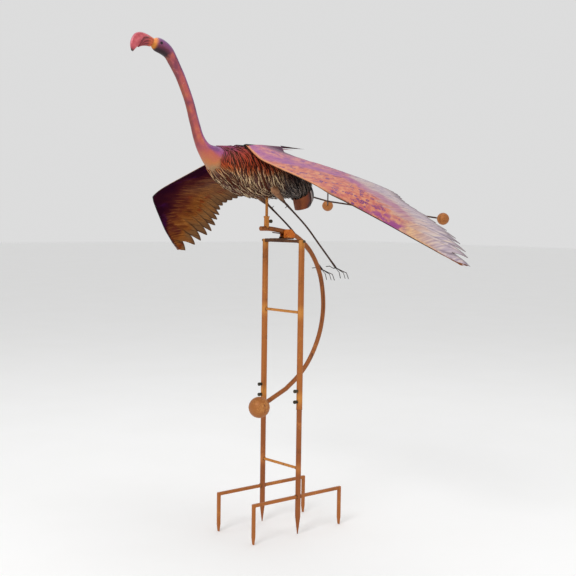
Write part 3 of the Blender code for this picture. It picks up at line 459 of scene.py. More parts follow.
def strand_paint():
    """Strips: magenta above, red-orange, cream at the lower front, and near black at the rear, with
    painted shade on the sides of each strip.
    """
    paint = Paint("strand_paint", metallic=0.1, sheen=0.15)
    blotch = (paint.noise(16.0, 3.0) - 0.5) * 0.07
    level = paint.axis("Z") + blotch
    reach = paint.axis("Y") + blotch
    front = paint.ramp(level.step(1.17, 1.38), (
        (0.06, 196, 174, 142), (0.3, 214, 180, 136), (0.46, 204, 128, 76), (0.6, 196, 88, 48),
        (0.78, 176, 72, 66), (0.93, 142, 66, 100)))
    rear = paint.ramp(level.step(1.16, 1.34), (
        (0.06, 128, 118, 112), (0.3, 112, 94, 84), (0.48, 66, 28, 30), (0.72, 64, 18, 22),
        (0.92, 92, 34, 24)))
    colour = paint.mix(reach.step(-0.16, -0.02), front, rear)
    middle = abs(reach + 0.19).step(0.13, 0.04)
    high = abs(level - 1.305).step(0.05, 0.015)
    colour = paint.over(middle * high, 0.8, colour, (196, 70, 34))
    # The dark colour serves for randomly dark strips, and also as painted shade on the sides of every
    # strip.
    dark = paint.mix(reach.step(-0.16, 0.02), (92, 44, 26), (14, 7, 8))
    own = paint.value("own")
    colour = paint.mix(own.step(0.34, 0.12), colour, dark)
    colour = paint.mix(0.32 - own * 0.32, colour, dark)
    light = paint.mix(reach.step(-0.12, 0.02), (240, 214, 172), (158, 146, 138))
    colour = paint.over(own.step(0.72, 0.92) * level.step(1.315, 1.235), 0.75, colour, light)
    # Painted shade: the sides of each strip take the dark colour, and only its ridge keeps the full
    # colour.
    colour = paint.mix(paint.value("ridge").step(0.18, 0.62), dark, colour)
    colour = paint.mix(paint.value("tip").step(0.78, 1.0), colour, (24, 13, 14))
    return paint.done(colour, paint.noise(220.0), 0.0003, rough=(0.42, 0.60))


def beak_paint():
    paint = Paint("beak_paint", metallic=0.1, coat=0.15)
    along = paint.value("along")
    back = paint.value("back")
    mottle = paint.noise(60.0, 4.0)
    colour = paint.ramp(mottle, ((0.3, 158, 62, 70), (0.55, 188, 84, 92), (0.75, 204, 108, 112)))
    top = paint.mix(along.step(1.0, 3.5), (150, 104, 116), (196, 110, 122))
    colour = paint.mix(back.step(0.9, 0.99), colour, top)
    colour = paint.mix(along.step(0.7, 0.0), colour, (206, 110, 62))
    colour = paint.mix(along.step(5.2, 6.0), colour, (58, 40, 44))
    return paint.done(colour, mottle, 0.0004, rough=(0.26, 0.44))


def lower_beak_paint():
    paint = Paint("lower_beak_paint", roughness=0.40, metallic=0.2, coat=0.3)
    groove = paint.value("ridge")
    along = paint.value("along")
    # Painted shade: the grooves between the raised lines are made dark maroon, and the raised lines stay
    # pink.
    colour = paint.mix(groove, (92, 26, 34), (164, 62, 70))
    colour = paint.mix(along.step(1.3, 0.2), colour, (190, 84, 44))
    return paint.done(colour, paint.noise(90.0), 0.0004)


def wing_top_paint():
    """Mauve near the body, an orange band with purple spots, then lilac grey and peach tips."""
    paint = Paint("wing_top_paint", metallic=0.15, coat=0.08)
    span = paint.value("span")
    chord = paint.value("chord")
    feather = paint.value("feather")
    broad = paint.noise(11.0, 4.0) - 0.5
    mottle = paint.noise(46.0, 5.0)
    along_feather = paint.vector(span * 150.0, chord * 5.0)
    streak = paint.noise(1.0, 5.0, along_feather)
    mauve = paint.ramp(mottle, (
        (0.32, 140, 82, 116), (0.45, 170, 98, 126), (0.56, 188, 116, 122), (0.68, 200, 134, 120)))
    mauve = paint.over(paint.noise(26.0, 4.0).step(0.5, 0.62), 0.7, mauve, (122, 66, 138))
    lilac = paint.ramp(streak, (
        (0.30, 140, 126, 142), (0.44, 172, 156, 170), (0.58, 198, 182, 184), (0.72, 214, 196, 172)))
    peach = paint.ramp(streak, ((0.30, 168, 126, 116), (0.48, 202, 156, 120), (0.70, 220, 182, 134)))
    level = chord + broad * 0.35
    reach = span + broad * 0.16
    outer = paint.mix(level.step(0.8, 0.34), lilac, peach)
    outward = reach + level.step(0.25, 0.8) * 0.48
    colour = paint.mix(outward.step(0.76, 0.9), mauve, outer)
    orange = paint.ramp(mottle, ((0.32, 168, 80, 84), (0.48, 192, 106, 84), (0.64, 206, 136, 100)))
    width = reach.step(0.1, 0.55) * 0.44 - level
    band = width.step(-0.05, 0.05) * reach.step(0.86, 0.74)
    colour = paint.mix(band, colour, orange)
    fringe = abs(width + 0.1).step(0.12, 0.02) * reach.step(0.86, 0.74)
    colour = paint.over(fringe, 0.6, colour, (150, 76, 134))
    distance = paint.cells(58.0, paint.stretch(0.8, 1.0, 1.0))
    rings = abs(distance - 0.3).step(0.17, 0.06)
    patchy = paint.noise(24.0, 3.0).step(0.42, 0.54)
    spots = rings * patchy * band * span.step(0.2, 0.34)
    colour = paint.over(spots, 0.95, colour, (104, 36, 108))
    blot = abs(reach - 0.8).step(0.09, 0.01) * level.step(0.5, 0.16)
    blot = blot * paint.noise(34.0, 3.0).step(0.44, 0.54)
    colour = paint.over(blot, 0.9, colour, (138, 52, 124))
    colour = paint.over(feather.step(0.72, 1.0) * chord.step(0.5, 0.8), 0.6, colour, (104, 84, 92))
    colour = paint.over(feather.step(0.16, 0.03) * chord.step(0.45, 0.75), 0.4, colour, (116, 92, 92))
    colour = paint.over(chord.step(0.84, 1.0) * span.step(0.3, 0.5), 0.65, colour, (104, 92, 96))
    colour = paint.over(span.step(0.2, 0.12) * chord.step(0.3, 0.55), 0.85, colour, (92, 62, 84))
    nose = chord.step(0.045, 0.015)
    colour = paint.mix(nose, colour, paint.mix(span.step(0.55, 0.72), (206, 136, 94), (120, 66, 40)))
    return paint.done(colour, streak + mottle, 0.0005, rough=(0.42, 0.6))


def wing_under_paint():
    """Underside: dark plum by the leading edge to brown, streaked along the feathers."""
    paint = Paint("wing_under_paint", metallic=0.0, sheen=0.0)
    span = paint.value("span")
    chord = paint.value("chord")
    feather = paint.value("feather")
    broad = paint.noise(9.0, 4.0)
    along_feather = paint.vector(span * 170.0, chord * 4.0)
    streak = paint.noise(1.0, 6.0, along_feather)
    level = chord + (broad - 0.5) * 0.7
    colour = paint.ramp(level, (
        (0.10, 40, 10, 26), (0.32, 64, 20, 26), (0.52, 94, 42, 26), (0.68, 128, 74, 32),
        (0.88, 120, 84, 52)))
    violet = paint.noise(12.0, 2.0).step(0.56, 0.7) * level.step(0.62, 0.2)
    colour = paint.over(violet, 0.8, colour, (56, 16, 56))
    red = paint.noise(15.0, 3.0, paint.stretch(1.0, 1.0, 1.4)).step(0.58, 0.7) * level.step(0.3, 0.6)
    colour = paint.over(red, 0.7, colour, (118, 42, 16))
    colour = paint.over(span.step(0.72, 0.52) * level.step(0.3, 0.6), 0.5, colour, (92, 74, 64))
    colour = paint.over(streak.step(0.5, 0.66) * level.step(0.15, 0.6), 0.55, colour, (164, 108, 54))
    colour = paint.over(streak.step(0.47, 0.34), 0.6, colour, (34, 12, 12))
    colour = paint.over(feather.step(0.72, 1.0) * chord.step(0.62, 0.88), 0.7, colour, (30, 20, 20))
    colour = paint.mix(chord.step(0.86, 1.0) * 0.55, colour, (60, 46, 42))
    return paint.done(colour, streak, 0.0006, rough=(0.40, 0.60))


def edge_paint():
    """Rolled front edge: orange above near the body, dark brown outboard, and near-black painted shade on
    the faces that point down.
    """
    paint = Paint("edge_paint", metallic=0.2)
    grain = paint.noise(40.0, 4.0)
    colour = paint.ramp(grain, ((0.3, 150, 86, 50), (0.55, 200, 126, 78), (0.75, 216, 150, 100)))
    colour = paint.mix(abs(paint.axis("X")).step(0.44, 0.6), colour, (96, 50, 30))
    # Painted shade: where the edge's surface faces down it is made near black.
    shade_facing = paint.node("ShaderNodeTexCoord").outputs["Normal"]
    up = paint.axis("Z", shade_facing)
    colour = paint.mix(up.step(0.25, -0.05), colour, (22, 9, 12))
    return paint.done(colour, grain, 0.0003)


def leg_paint():
    paint = Paint("leg_paint", roughness=0.45, metallic=0.4)
    grain = paint.noise(90.0, 5.0)
    thin = paint.ramp(grain, ((0.3, 34, 22, 18), (0.6, 70, 46, 34), (0.8, 104, 74, 52)))
    broad = paint.noise(50.0, 4.0, paint.stretch(1.0, 0.4, 0.4))
    thigh = paint.ramp(broad, ((0.3, 112, 74, 50), (0.5, 158, 112, 78), (0.7, 186, 140, 100)))
    colour = paint.mix(paint.axis("Z").step(1.15, 1.185), thin, thigh)
    return paint.done(colour, grain, 0.0004, rough=(0.35, 0.6))


def bracket_paint():
    """Orange cheeks on a brown base plate."""
    paint = Paint("bracket_paint", metallic=0.1, coat=0.1)
    rust = paint.noise(60.0, 4.0)
    cheek = paint.ramp(rust, ((0.30, 172, 80, 10), (0.50, 212, 108, 14), (0.70, 226, 132, 36)))
    plate = paint.ramp(rust, ((0.30, 54, 30, 16), (0.50, 92, 56, 28), (0.70, 132, 84, 44)))
    colour = paint.mix(paint.axis("Z").step(BRACKET_PLATE_TOP + 0.003, BRACKET_PLATE_TOP), cheek, plate)
    return paint.done(colour, paint.noise(220.0, 4.0), 0.0003, rough=(0.45, 0.62))


def plain_grain(name, dark, base, light, scale=70.0, roughness=0.5, metallic=0.3):
    paint = Paint(name, roughness=roughness, metallic=metallic)
    grain = paint.noise(scale, 5.0)
    colour = paint.ramp(grain, ((0.30, *dark), (0.52, *base), (0.74, *light)))
    return paint.done(colour, grain, 0.0004)


STAND_PAINT = rusty("stand_paint", (100, 52, 20), (168, 98, 40), (206, 138, 60), STAND_JOINTS, 0.040)
LOWER_PAINT = rusty("lower_paint", (90, 44, 20), (150, 84, 38), (188, 118, 58), STAND_JOINTS[-1:])
ARM_PAINT = rusty("arm_paint", (88, 44, 20), (148, 84, 36), (188, 118, 56))
BALL_PAINT = rusty("ball_paint", (104, 54, 22), (164, 100, 46), (204, 142, 76))
RAIL_PAINT = rusty("rail_paint", (50, 26, 14), (88, 52, 26), (128, 82, 44))
GOLD_PAINT = rusty("gold_paint", (136, 78, 30), (190, 120, 48), (218, 152, 80))
BRACKET_PAINT = bracket_paint()
DARK_PAINT = plain_grain("dark_paint", (18, 12, 10), (38, 25, 19), (70, 46, 33))
ROD_PAINT = plain_grain("rod_paint", (38, 22, 15), (66, 40, 28), (100, 68, 48))
KNOB_PAINT = plain_grain("knob_paint", (30, 27, 20), (62, 55, 40), (104, 92, 68), roughness=0.55)
PIN_PAINT = plain_grain("pin_paint", (52, 16, 10), (88, 32, 18), (126, 56, 32))
RUBBER_PAINT = plain_grain("rubber_paint", (6, 6, 6), (14, 14, 14), (28, 27, 26), 240.0, 0.8, 0.0)
EYE_PAINT = plain_grain("eye_paint", (8, 5, 12), (18, 12, 26), (40, 28, 52), 200.0, 0.2, 0.0)
WELD_PAINT = plain_grain("weld_paint", (70, 38, 20), (132, 78, 38), (186, 126, 66), 220.0, 0.5, 0.3)
SKIN_PAINT = skin_paint()
STRAND_PAINT = strand_paint()
BEAK_PAINT = beak_paint()
LOWER_BEAK_PAINT = lower_beak_paint()
WING_TOP_PAINT = wing_top_paint()
WING_UNDER_PAINT = wing_under_paint()
EDGE_PAINT = edge_paint()
LEG_PAINT = leg_paint()


def circle(centre, normal, side, radius, count):
    """Points round a centre, in the plane of two directions."""
    angles = [2 * math.pi * step / count for step in range(count)]
    return [centre + (normal * math.cos(angle) + side * math.sin(angle)) * radius for angle in angles]


def plane_of(axis):
    """Two directions square to an axis of length 1."""
    normal = axis.orthogonal().normalized()
    return normal, axis.cross(normal)


class Shape:
    """Points and faces of one piece, with the numbers that its paint reads."""

    def __init__(self):
        self.points = []
        self.faces = []
        self.values = {}

    def add(self, point, **values):
        for name, value in values.items():
            self.values.setdefault(name, {})[len(self.points)] = value
        self.points.append(tuple(point))
        return len(self.points) - 1

    def skin(self, rows, loop=True, caps=True):
        """Faces between rows of point numbers."""
        count = len(rows[0])
        for first, second in zip(rows, rows[1:]):
            for index in range(count if loop else count - 1):
                after = (index + 1) % count
                self.faces.append((first[index], first[after], second[after], second[index]))
        if caps:
            self.faces.append(tuple(reversed(rows[0])))
            self.faces.append(tuple(rows[-1]))

    def sweep(self, route, radii, sides, caps=True):
        """A round bar along a route, with a radius at each point."""
        route = [Vector(point) for point in route]
        normal = (route[1] - route[0]).orthogonal().normalized()
        rows = []
        for index, point in enumerate(route):
            run = (route[min(index + 1, len(route) - 1)] - route[max(index - 1, 0)]).normalized()
            normal = (normal - run * normal.dot(run)).normalized()
            ring = circle(point, normal, run.cross(normal), radii[index], sides)
            rows.append([self.add(place) for place in ring])
        self.skin(rows, caps=caps)

    def turn(self, profile, centre, axis, sides):
        """A turned form: (radius, height) points along an axis from a centre."""
        axis = Vector(axis).normalized()
        normal, side = plane_of(axis)
        rows = []
        for radius, height in profile:
            ring = circle(Vector(centre) + axis * height, normal, side, radius, sides)
            rows.append([self.add(place) for place in ring])
        self.skin(rows)

    def make(self, name, materials, body, slot, nodes=(), smooth=40.0):
        mesh = bpy.data.meshes.new(name)
        mesh.from_pydata(self.points, [], self.faces)
        for key, entries in self.values.items():
            layer = mesh.attributes.new(key, "FLOAT", "POINT")
            numbers = [entries.get(index, 0.0) for index in range(len(self.points))]
            layer.data.foreach_set("value", numbers)
        for material in materials:
            mesh.materials.append(material)
        mesh.shade_smooth()
        mesh.set_sharp_from_angle(angle=math.radians(smooth))
        obj = bpy.data.objects.new(name, mesh)
        bpy.context.scene.collection.objects.link(obj)
        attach(obj, body)
        if nodes:
            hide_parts(*nodes)
        return obj


def smooth_route(points, each):
    """Points of a smooth curve through the given ones, of any number of values."""
    padded = [[2 * a - b for a, b in zip(points[0], points[1])]] + [list(p) for p in points]
    padded.append([2 * a - b for a, b in zip(points[-1], points[-2])])
    route = []
    for index in range(1, len(padded) - 2):
        for step in range(each):
            route.append(curve_point(padded, index, step / each))
    route.append(tuple(points[-1]))
    return route


def curve_point(padded, index, share):
    values = []
    for before, start, end, after in zip(*padded[index - 1:index + 3]):
        bend = (2 * before - 5 * start + 4 * end - after) * share ** 2
        twist = (3 * start - before - 3 * end + after) * share ** 3
        values.append((2 * start + (end - before) * share + bend + twist) / 2)
    return tuple(values)


def ease(value, low, high):
    share = max(0.0, min(1.0, (value - low) / (high - low)))
    return share * share * (3 - 2 * share)


SHELL_FINE = 20
SHELL_TABLE = smooth_route(SHELL_SECTIONS, SHELL_FINE)


def shell_section(along):
    """The shell's section at a place counted in sections."""
    place = max(0.0, min(len(SHELL_SECTIONS) - 1.0, along)) * SHELL_FINE
    low = min(int(place), len(SHELL_TABLE) - 2)
    share = place - low
    return [a + (b - a) * share for a, b in zip(SHELL_TABLE[low], SHELL_TABLE[low + 1])]


def section_point(section, angle, lift=0.0):
    """A point of an oval section; angle 0 is its upper edge and half a turn its lower edge."""
    upper_y, upper_z, lower_y, lower_z, half_width = section
    half_y = (upper_y - lower_y) / 2
    half_z = (upper_z - lower_z) / 2
    out = Vector((half_width * math.sin(angle), half_y * math.cos(angle), half_z * math.cos(angle)))
    middle = Vector((0.0, (upper_y + lower_y) / 2, (upper_z + lower_z) / 2))
    return middle + out * (1 + lift / max(out.length, 0.001))


def body_point(along, angle, lift=0.0):
    return section_point(shell_section(along), angle, lift)


def add_wall(obj, thickness, under=0):
    """Gives a sheet its thickness, with the material of the given number under it."""
    solid = obj.modifiers.new("wall", "SOLIDIFY")
    solid.thickness = thickness
    solid.offset = -1.0
    solid.material_offset = under
    solid.material_offset_rim = under


def strand_edge(angle):
    """Where the smooth chest ends and the strips begin, counted in sections."""
    down = min(angle, 2 * math.pi - angle) / math.pi
    edge = STRAND_TOP_START + (STRAND_FLANK_START - STRAND_TOP_START) * ease(down, 0.10, 0.45)
    return edge + (STRAND_BELLY_START - STRAND_FLANK_START) * ease(down, 0.55, 0.85)


def make_skin():
    shape = Shape()
    rows = []
    last = len(SHELL_SECTIONS) - 1
    for ring in range(last * SKIN_RINGS_EACH + 1):
        along = ring / SKIN_RINGS_EACH
        row = []
        for index in range(SKIN_SIDES):
            angle = 2 * math.pi * index / SKIN_SIDES
            back = (1 + math.cos(angle)) / 2
            place = body_point(along, angle)
            lift = DENT_HEIGHT * noise.noise(place * 28.0)
            seam = max(ease(back, 0.985, 1.0), ease(-back, -0.015, 0.0))
            lift += SEAM_HEIGHT * seam * ease(along, 3.0, 5.0) * ease(-along, -11.0, -9.0)
            edge = strand_edge(angle)
            covered = ease(along, edge, edge + 0.5)
            lift -= COVERED_SINK * covered + HEAD_SLACK * ease(-along, -4.0, -2.0)
            row.append(shape.add(body_point(along, angle, lift), along=along, back=back, covered=covered))
        rows.append(row)
    shape.faces.append(tuple(rows[0]))
    shape.skin(rows, caps=False)
    skin = shape.make("bird_skin", [SKIN_PAINT], "rocker", "feather", ["bird_shell"], 60.0)
    add_wall(skin, SHELL_WALL)


def strand_lean(along, angle):
    """Direction of the strips on the body: 0 runs to the tail and 90 degrees down its side."""
    down = min(angle, 2 * math.pi - angle) / math.pi
    flank = math.sin(math.pi * min(1.0, down * 1.15)) ** 1.2
    middle = math.exp(-((along - 15.2) / 2.6) ** 2)
    rear = ease(along, 16.0, 19.0)
    steep = 16.0 + flank * (34.0 + 22.0 * middle) - 16.0 * rear * flank
    front = ease(-along, -14.6, -12.6) * ease(down, 0.45, 0.75)
    return steep * (1 - 0.75 * front)


def section_size(along):
    """Half height and half width of the shell's section."""
    upper_y, upper_z, lower_y, lower_z, half_width = shell_section(along)
    return math.hypot(upper_y - lower_y, upper_z - lower_z) / 2, half_width


def strand_route(rng, along, side, angle, length):
    """Places (along, angle) of one strip from its root."""
    places = []
    phase = rng.uniform(0, 2 * math.pi)
    sway = rng.uniform(0.5, 1.3)
    turn = rng.uniform(-STRAND_TURN, STRAND_TURN)
    run = length / STRAND_STEPS
    for step in range(STRAND_STEPS + 1):
        places.append((along, side * angle))
        bend = STRAND_SWAY * sway * math.sin(phase + step / STRAND_STEPS * STRAND_WAVES)
        lean = math.radians(strand_lean(along, angle) + turn + bend)
        half_height, half_width = section_size(along)
        girth = math.hypot(half_width * math.cos(angle), half_height * math.sin(angle))
        spacing = (body_point(along + 0.05, angle) - body_point(along - 0.05, angle)).length / 0.1
        along += run * math.cos(lean) / max(spacing, LEAST_SPACING)
        angle += run * math.sin(lean) / max(girth, LEAST_SPACING)
        if along > STRAND_END + STRAND_OVERRUN or angle > math.pi - STRAND_BELLY_GAP:
            break
    return places


def add_strand(shape, places, width, rise, own, base=0.0004):
    """A thin strip with a ridge, pointed at its end and lifted there."""
    if len(places) < 4:
        return
    centres = [body_point(*place) for place in places]
    rows = []
    for index, centre in enumerate(centres):
        share = index / (len(centres) - 1)
        run = (centres[min(index + 1, len(centres) - 1)] - centres[max(index - 1, 0)]).normalized()
        upper_y, upper_z, lower_y, lower_z = shell_section(places[index][0])[:4]
        out = centre - Vector((0.0, (upper_y + lower_y) / 2, (upper_z + lower_z) / 2))
        out = (out - run * out.dot(run)).normalized()
        side = run.cross(out)
        half = width * (0.55 + 0.45 * math.sin(math.pi * min(1.0, share * 1.6))) * (1 - share ** 3 * 0.9)
        centre = centre + out * (base + rise * share ** 1.8)
        row = []
        for aside, ridge in ((side * -half, 0.0), (out * STRAND_RIDGE, 1.0), (side * half, 0.0)):
            row.append(shape.add(centre + aside, ridge=ridge, own=own, tip=share))
        rows.append(row)
    shape.skin(rows)


def make_strands():
    for name, side in SIDES.items():
        rng = random.Random(11 + side)
        shape = Shape()
        along = STRAND_TOP_START
        while along < STRAND_END:
            half_height, half_width = section_size(along)
            around = math.pi * math.sqrt((half_height ** 2 + half_width ** 2) / 2)
            count = int(around / STRAND_PITCH)
            for index in range(count):
                down = math.pi * (index + rng.uniform(0.15, 0.85)) / count
                start = along + rng.uniform(-0.5, 0.5) * STRAND_ROW
                if start < strand_edge(down):
                    continue
                belly = ease(down, 2.3, 2.9)
                ridge = ease(-down, -0.5, -0.15)
                length = STRAND_LENGTH * rng.uniform(0.75, 1.2)
                rise = STRAND_RISE + rng.uniform(0.0, STRAND_RISE)
                rise += belly * rng.uniform(0.001, 0.007) + ridge * 0.003
                places = strand_route(rng, start, side, down, length)
                add_strand(shape, places, STRAND_HALF_WIDTH * rng.uniform(0.8, 1.15), rise, rng.random())
            along += STRAND_ROW
        shape.make(name + "_body_strands", [STRAND_PAINT], "rocker", "feather", smooth=30.0)


def make_tail():
    """Dark band over the end of the body, with a painted highlight as a pale rim along both its edges."""
    shape = Shape()
    rows = []
    columns = range(TAIL_COLUMNS + 1)
    layers = [(TAIL_LAYERS[0], index) for index in columns]
    layers += [(TAIL_LAYERS[1], index) for index in reversed(columns)]
    for step in range(TAIL_STEPS + 1):
        share = step / TAIL_STEPS
        along = TAIL_START + (TAIL_END - TAIL_START) * share
        reach = TAIL_REACH * math.sin(math.pi * (0.12 + 0.76 * share)) ** 0.5
        row = []
        for level, index in layers:
            across = 2 * index / TAIL_COLUMNS - 1
            lift = level + TAIL_BOW * (1 - across ** 2)
            row.append(shape.add(body_point(along, across * reach, lift), ridge=abs(across)))
        rows.append(row)
    shape.skin(rows)
    paint = Paint("tail_paint", metallic=0.15, coat=0.1)
    band = paint.mix(paint.noise(60.0), (8, 5, 7), (30, 14, 14))
    # Painted highlight: a pale grey rim along both edges of the dark band.
    colour = paint.mix(paint.value("ridge").step(0.8, 0.93), band, (150, 136, 130))
    paint.done(colour, paint.noise(120.0), 0.0004, rough=(0.40, 0.58))
    shape.make("tail_plates", [paint.material], "rocker", "feather")


def make_back_tips():
    """A row of lifted dark tips along the back."""
    rng = random.Random(5)
    shape = Shape()
    for index in range(BACK_TIP_COUNT):
        along = BACK_TIP_START + BACK_TIP_RUN * (index / (BACK_TIP_COUNT - 1))
        angle = rng.uniform(-BACK_TIP_SPREAD, BACK_TIP_SPREAD)
        side = 1 if angle > 0 else -1
        places = strand_route(rng, along, side, abs(angle) * 0.6, rng.uniform(0.020, 0.028))
        add_strand(shape, places, 0.0040, rng.uniform(0.001, 0.003), 0.1, base=0.0012)
    paint = Paint("back_tip_paint", roughness=0.45)
    stops = ((0.3, 62, 40, 58), (0.55, 112, 78, 100), (0.75, 160, 124, 138))
    colour = paint.ramp(paint.noise(80.0), stops)
    paint.done(colour, paint.noise(160.0), 0.0003)
    shape.make("back_tips", [paint.material], "rocker", "feather", smooth=30.0)


def make_eyes():
    for name, side in SIDES.items():
        centre = Vector(EYE_PLACE)
        centre.x *= side
        out = Vector((side, *EYE_LEAN)).normalized()
        shape = Shape()
        angles = [step * math.pi / 16 for step in range(8)]
        dome = [(EYE_RADIUS * math.cos(a), EYE_RADIUS * EYE_BULGE * math.sin(a)) for a in angles]
        shape.turn([(EYE_RADIUS, -EYE_DEPTH)] + dome, centre, out, 20)
        shape.make(name + "_eye", [EYE_PAINT], "rocker", "dark")
        ring = Shape()
        route = ring_route(centre, out, EYE_RADIUS * 1.25, 24)
        ring.sweep(route, [EYE_RING_RADIUS] * len(route), 8, caps=False)
        ring.make(name + "_eye_ring", [KNOB_PAINT], "rocker", "dark")


def make_beak():
    fine = smooth_route(BEAK_SECTIONS, BEAK_FINE)
    shape = Shape()
    rows = []
    for ring, section in enumerate(fine):
        row = []
        for index in range(BEAK_SIDES):
            angle = 2 * math.pi * index / BEAK_SIDES
            back = (1 + math.cos(angle)) / 2
            lift = 0.0006 * (ease(back, 0.93, 1.0) - 1)
            row.append(shape.add(section_point(section, angle, lift), along=ring / BEAK_FINE, back=back))
        rows.append(row)
    shape.skin(rows)
    shape.make("upper_beak", [BEAK_PAINT], "rocker", "beak", ["beak"])

    lower = Shape()
    rows = []
    steps = int(LOWER_BEAK_END * BEAK_FINE)
    for ring in range(1, steps + 1):
        reach = math.pi * (0.64 * (1 - (ring / steps) ** 2.4) + 0.04)
        row = []
        for index in range(LOWER_BEAK_SIDES + 1):
            across = 2 * index / LOWER_BEAK_SIDES - 1
            wave = 0.5 + 0.5 * math.cos(2 * math.pi * abs(across) * LOWER_BEAK_LINES)
            fall = ease(1 - abs(across), 0.0, 0.10)
            lift = (LOWER_BEAK_RISE + LOWER_BEAK_LINE_HEIGHT * wave) * fall - LOWER_BEAK_SINK * (1 - fall)
            place = section_point(fine[ring], math.pi + across * reach, lift)
            row.append(lower.add(place, ridge=wave * fall, along=ring / BEAK_FINE))
        rows.append(row)
    lower.skin(rows, loop=False, caps=False)
    piece = lower.make("lower_beak", [LOWER_BEAK_PAINT], "rocker", "beak")
    add_wall(piece, LOWER_BEAK_WALL)


def droop_height(x):
    """Fall of the wing's surface from its root, for a distance x along the span."""
    fall = 0.0
    for index in range(DROOP_STEPS):
        at = x * (index + 0.5) / DROOP_STEPS
        for (x0, a0), (x1, a1) in zip(WING_DROOP, WING_DROOP[1:]):
            if x0 <= at <= x1:
                angle = a0 + (a1 - a0) * (at - x0) / (x1 - x0)
                break
        fall += math.tan(math.radians(angle)) * x / DROOP_STEPS
    return fall


def along_line(points, x):
    """The y of a line of (x, y) points at x."""
    for (x0, y0), (x1, y1) in zip(points, points[1:]):
        if min(x0, x1) <= x <= max(x0, x1) and x0 != x1:
            return y0 + (y1 - y0) * (x - x0) / (x1 - x0)
    return points[-1][1]


FRONT_LINE = [(ROOT_X, ROOT_FRONT)] + list(LEADING_EDGE)
REAR_LINE = [(ROOT_X, ROOT_REAR), INNER_EDGE] + list(reversed(WING_TIPS))
FRONT_SMOOTH = smooth_route(FRONT_LINE, 6)


def wing_height(x, y):
    x_in = min(x, REAR_LINE[-1][0])
    nose = along_line(FRONT_LINE, min(x_in, FRONT_LINE[-1][0]))
    tail = along_line(REAR_LINE, x_in)
    chord = max(tail - nose, LEAST_CHORD)
    share = max(0.0, min(1.0, (y - nose) / chord))
    camber = 4 * WING_CAMBER * share * (1 - share) * min(1.0, chord / FULL_CAMBER_CHORD)
    level = HINGE_HEIGHT - droop_height(max(x - ROOT_X, 0.0))
    return level - WING_CHORD_DROP * (y - nose) + camber


def feather_lean(index):
    return math.radians(TIP_LEAN + (ROOT_LEAN - TIP_LEAN) * index / (len(WING_TIPS) - 1))


def feather_root(index):
    """Where a feather's shaft, run back from its tip, meets the leading edge."""
    tip_x, tip_y = WING_TIPS[index]
    lean = feather_lean(index)
    place = (tip_x, tip_y)
    for step in range(1, 500):
        place = (tip_x - 0.001 * step * math.cos(lean), tip_y - 0.001 * step * math.sin(lean))
        if place[1] <= along_line(FRONT_LINE, place[0]):
            break
    return place


def between(first, second, share):
    return tuple(a + (b - a) * share for a, b in zip(first, second))


def blend_list(points, at):
    low = max(0, min(int(at), len(points) - 2))
    return between(points[low], points[low + 1], at - low)


FEATHER_ROOTS = [feather_root(index) for index in range(len(WING_TIPS))]
OUTER_EDGE = smooth_route(LEADING_EDGE[WRIST:], 6)
OUTER_LIMIT = max(x for x, y in LEADING_EDGE + WING_TIPS) - 0.0008
ROOT_COLUMNS = 2.6


def wing_column(at):
    """Front point, rear point and sideways place in its feather, for a column counted in feathers."""
    last = len(WING_TIPS) - 1
    if at < 0:
        share = -at / 0.5
        return (between(FEATHER_ROOTS[0], LEADING_EDGE[WRIST], share),
                between(WING_TIPS[0], LEADING_EDGE[-1], share), at)
    if at > last + 0.5:
        share = (at - last - 0.5) / (ROOT_COLUMNS - 0.5)
        front = between(FEATHER_ROOTS[last], (ROOT_X, ROOT_FRONT), (at - last) / ROOT_COLUMNS)
        foot = between(WING_TIPS[-1], INNER_EDGE, 0.35)
        rear = blend_list([foot, INNER_EDGE, (ROOT_X, ROOT_REAR)], share * 2)
        return front, rear, 0.5
    aside = at - min(round(at), last)
    front = blend_list(FEATHER_ROOTS, min(at, last))
    if at > last:
        front = between(FEATHER_ROOTS[last], (ROOT_X, ROOT_FRONT), (at - last) / ROOT_COLUMNS)
        rear = between(WING_TIPS[-1], INNER_EDGE, (at - last) * 0.7)
    else:
        rear = blend_list(WING_TIPS, at)
    blend = max(0.0, 1.0 - at / PRIMARY_COUNT)
    depth = SECONDARY_DEPTH + (PRIMARY_DEPTH - SECONDARY_DEPTH) * blend
    if at > last:
        depth *= 0.3
    cut = depth * (2 * abs(aside)) ** 1.5
    lean = feather_lean(at)
    rear = (rear[0] - cut * math.cos(lean) * NOTCH_LEAN, rear[1] - cut * math.sin(lean))
    return front, rear, aside


def wing_point(front, rear, share, at):
    x, y = between(front, rear, share)
    bow = ease(-at, -3.0, 0.5)
    if bow > 0:
        edge = blend_list(OUTER_EDGE, share * (len(OUTER_EDGE) - 1))
        straight = between(LEADING_EDGE[WRIST], LEADING_EDGE[-1], share)
        x += (edge[0] - straight[0]) * bow
        y += (edge[1] - straight[1]) * bow
    return min(x, OUTER_LIMIT), y


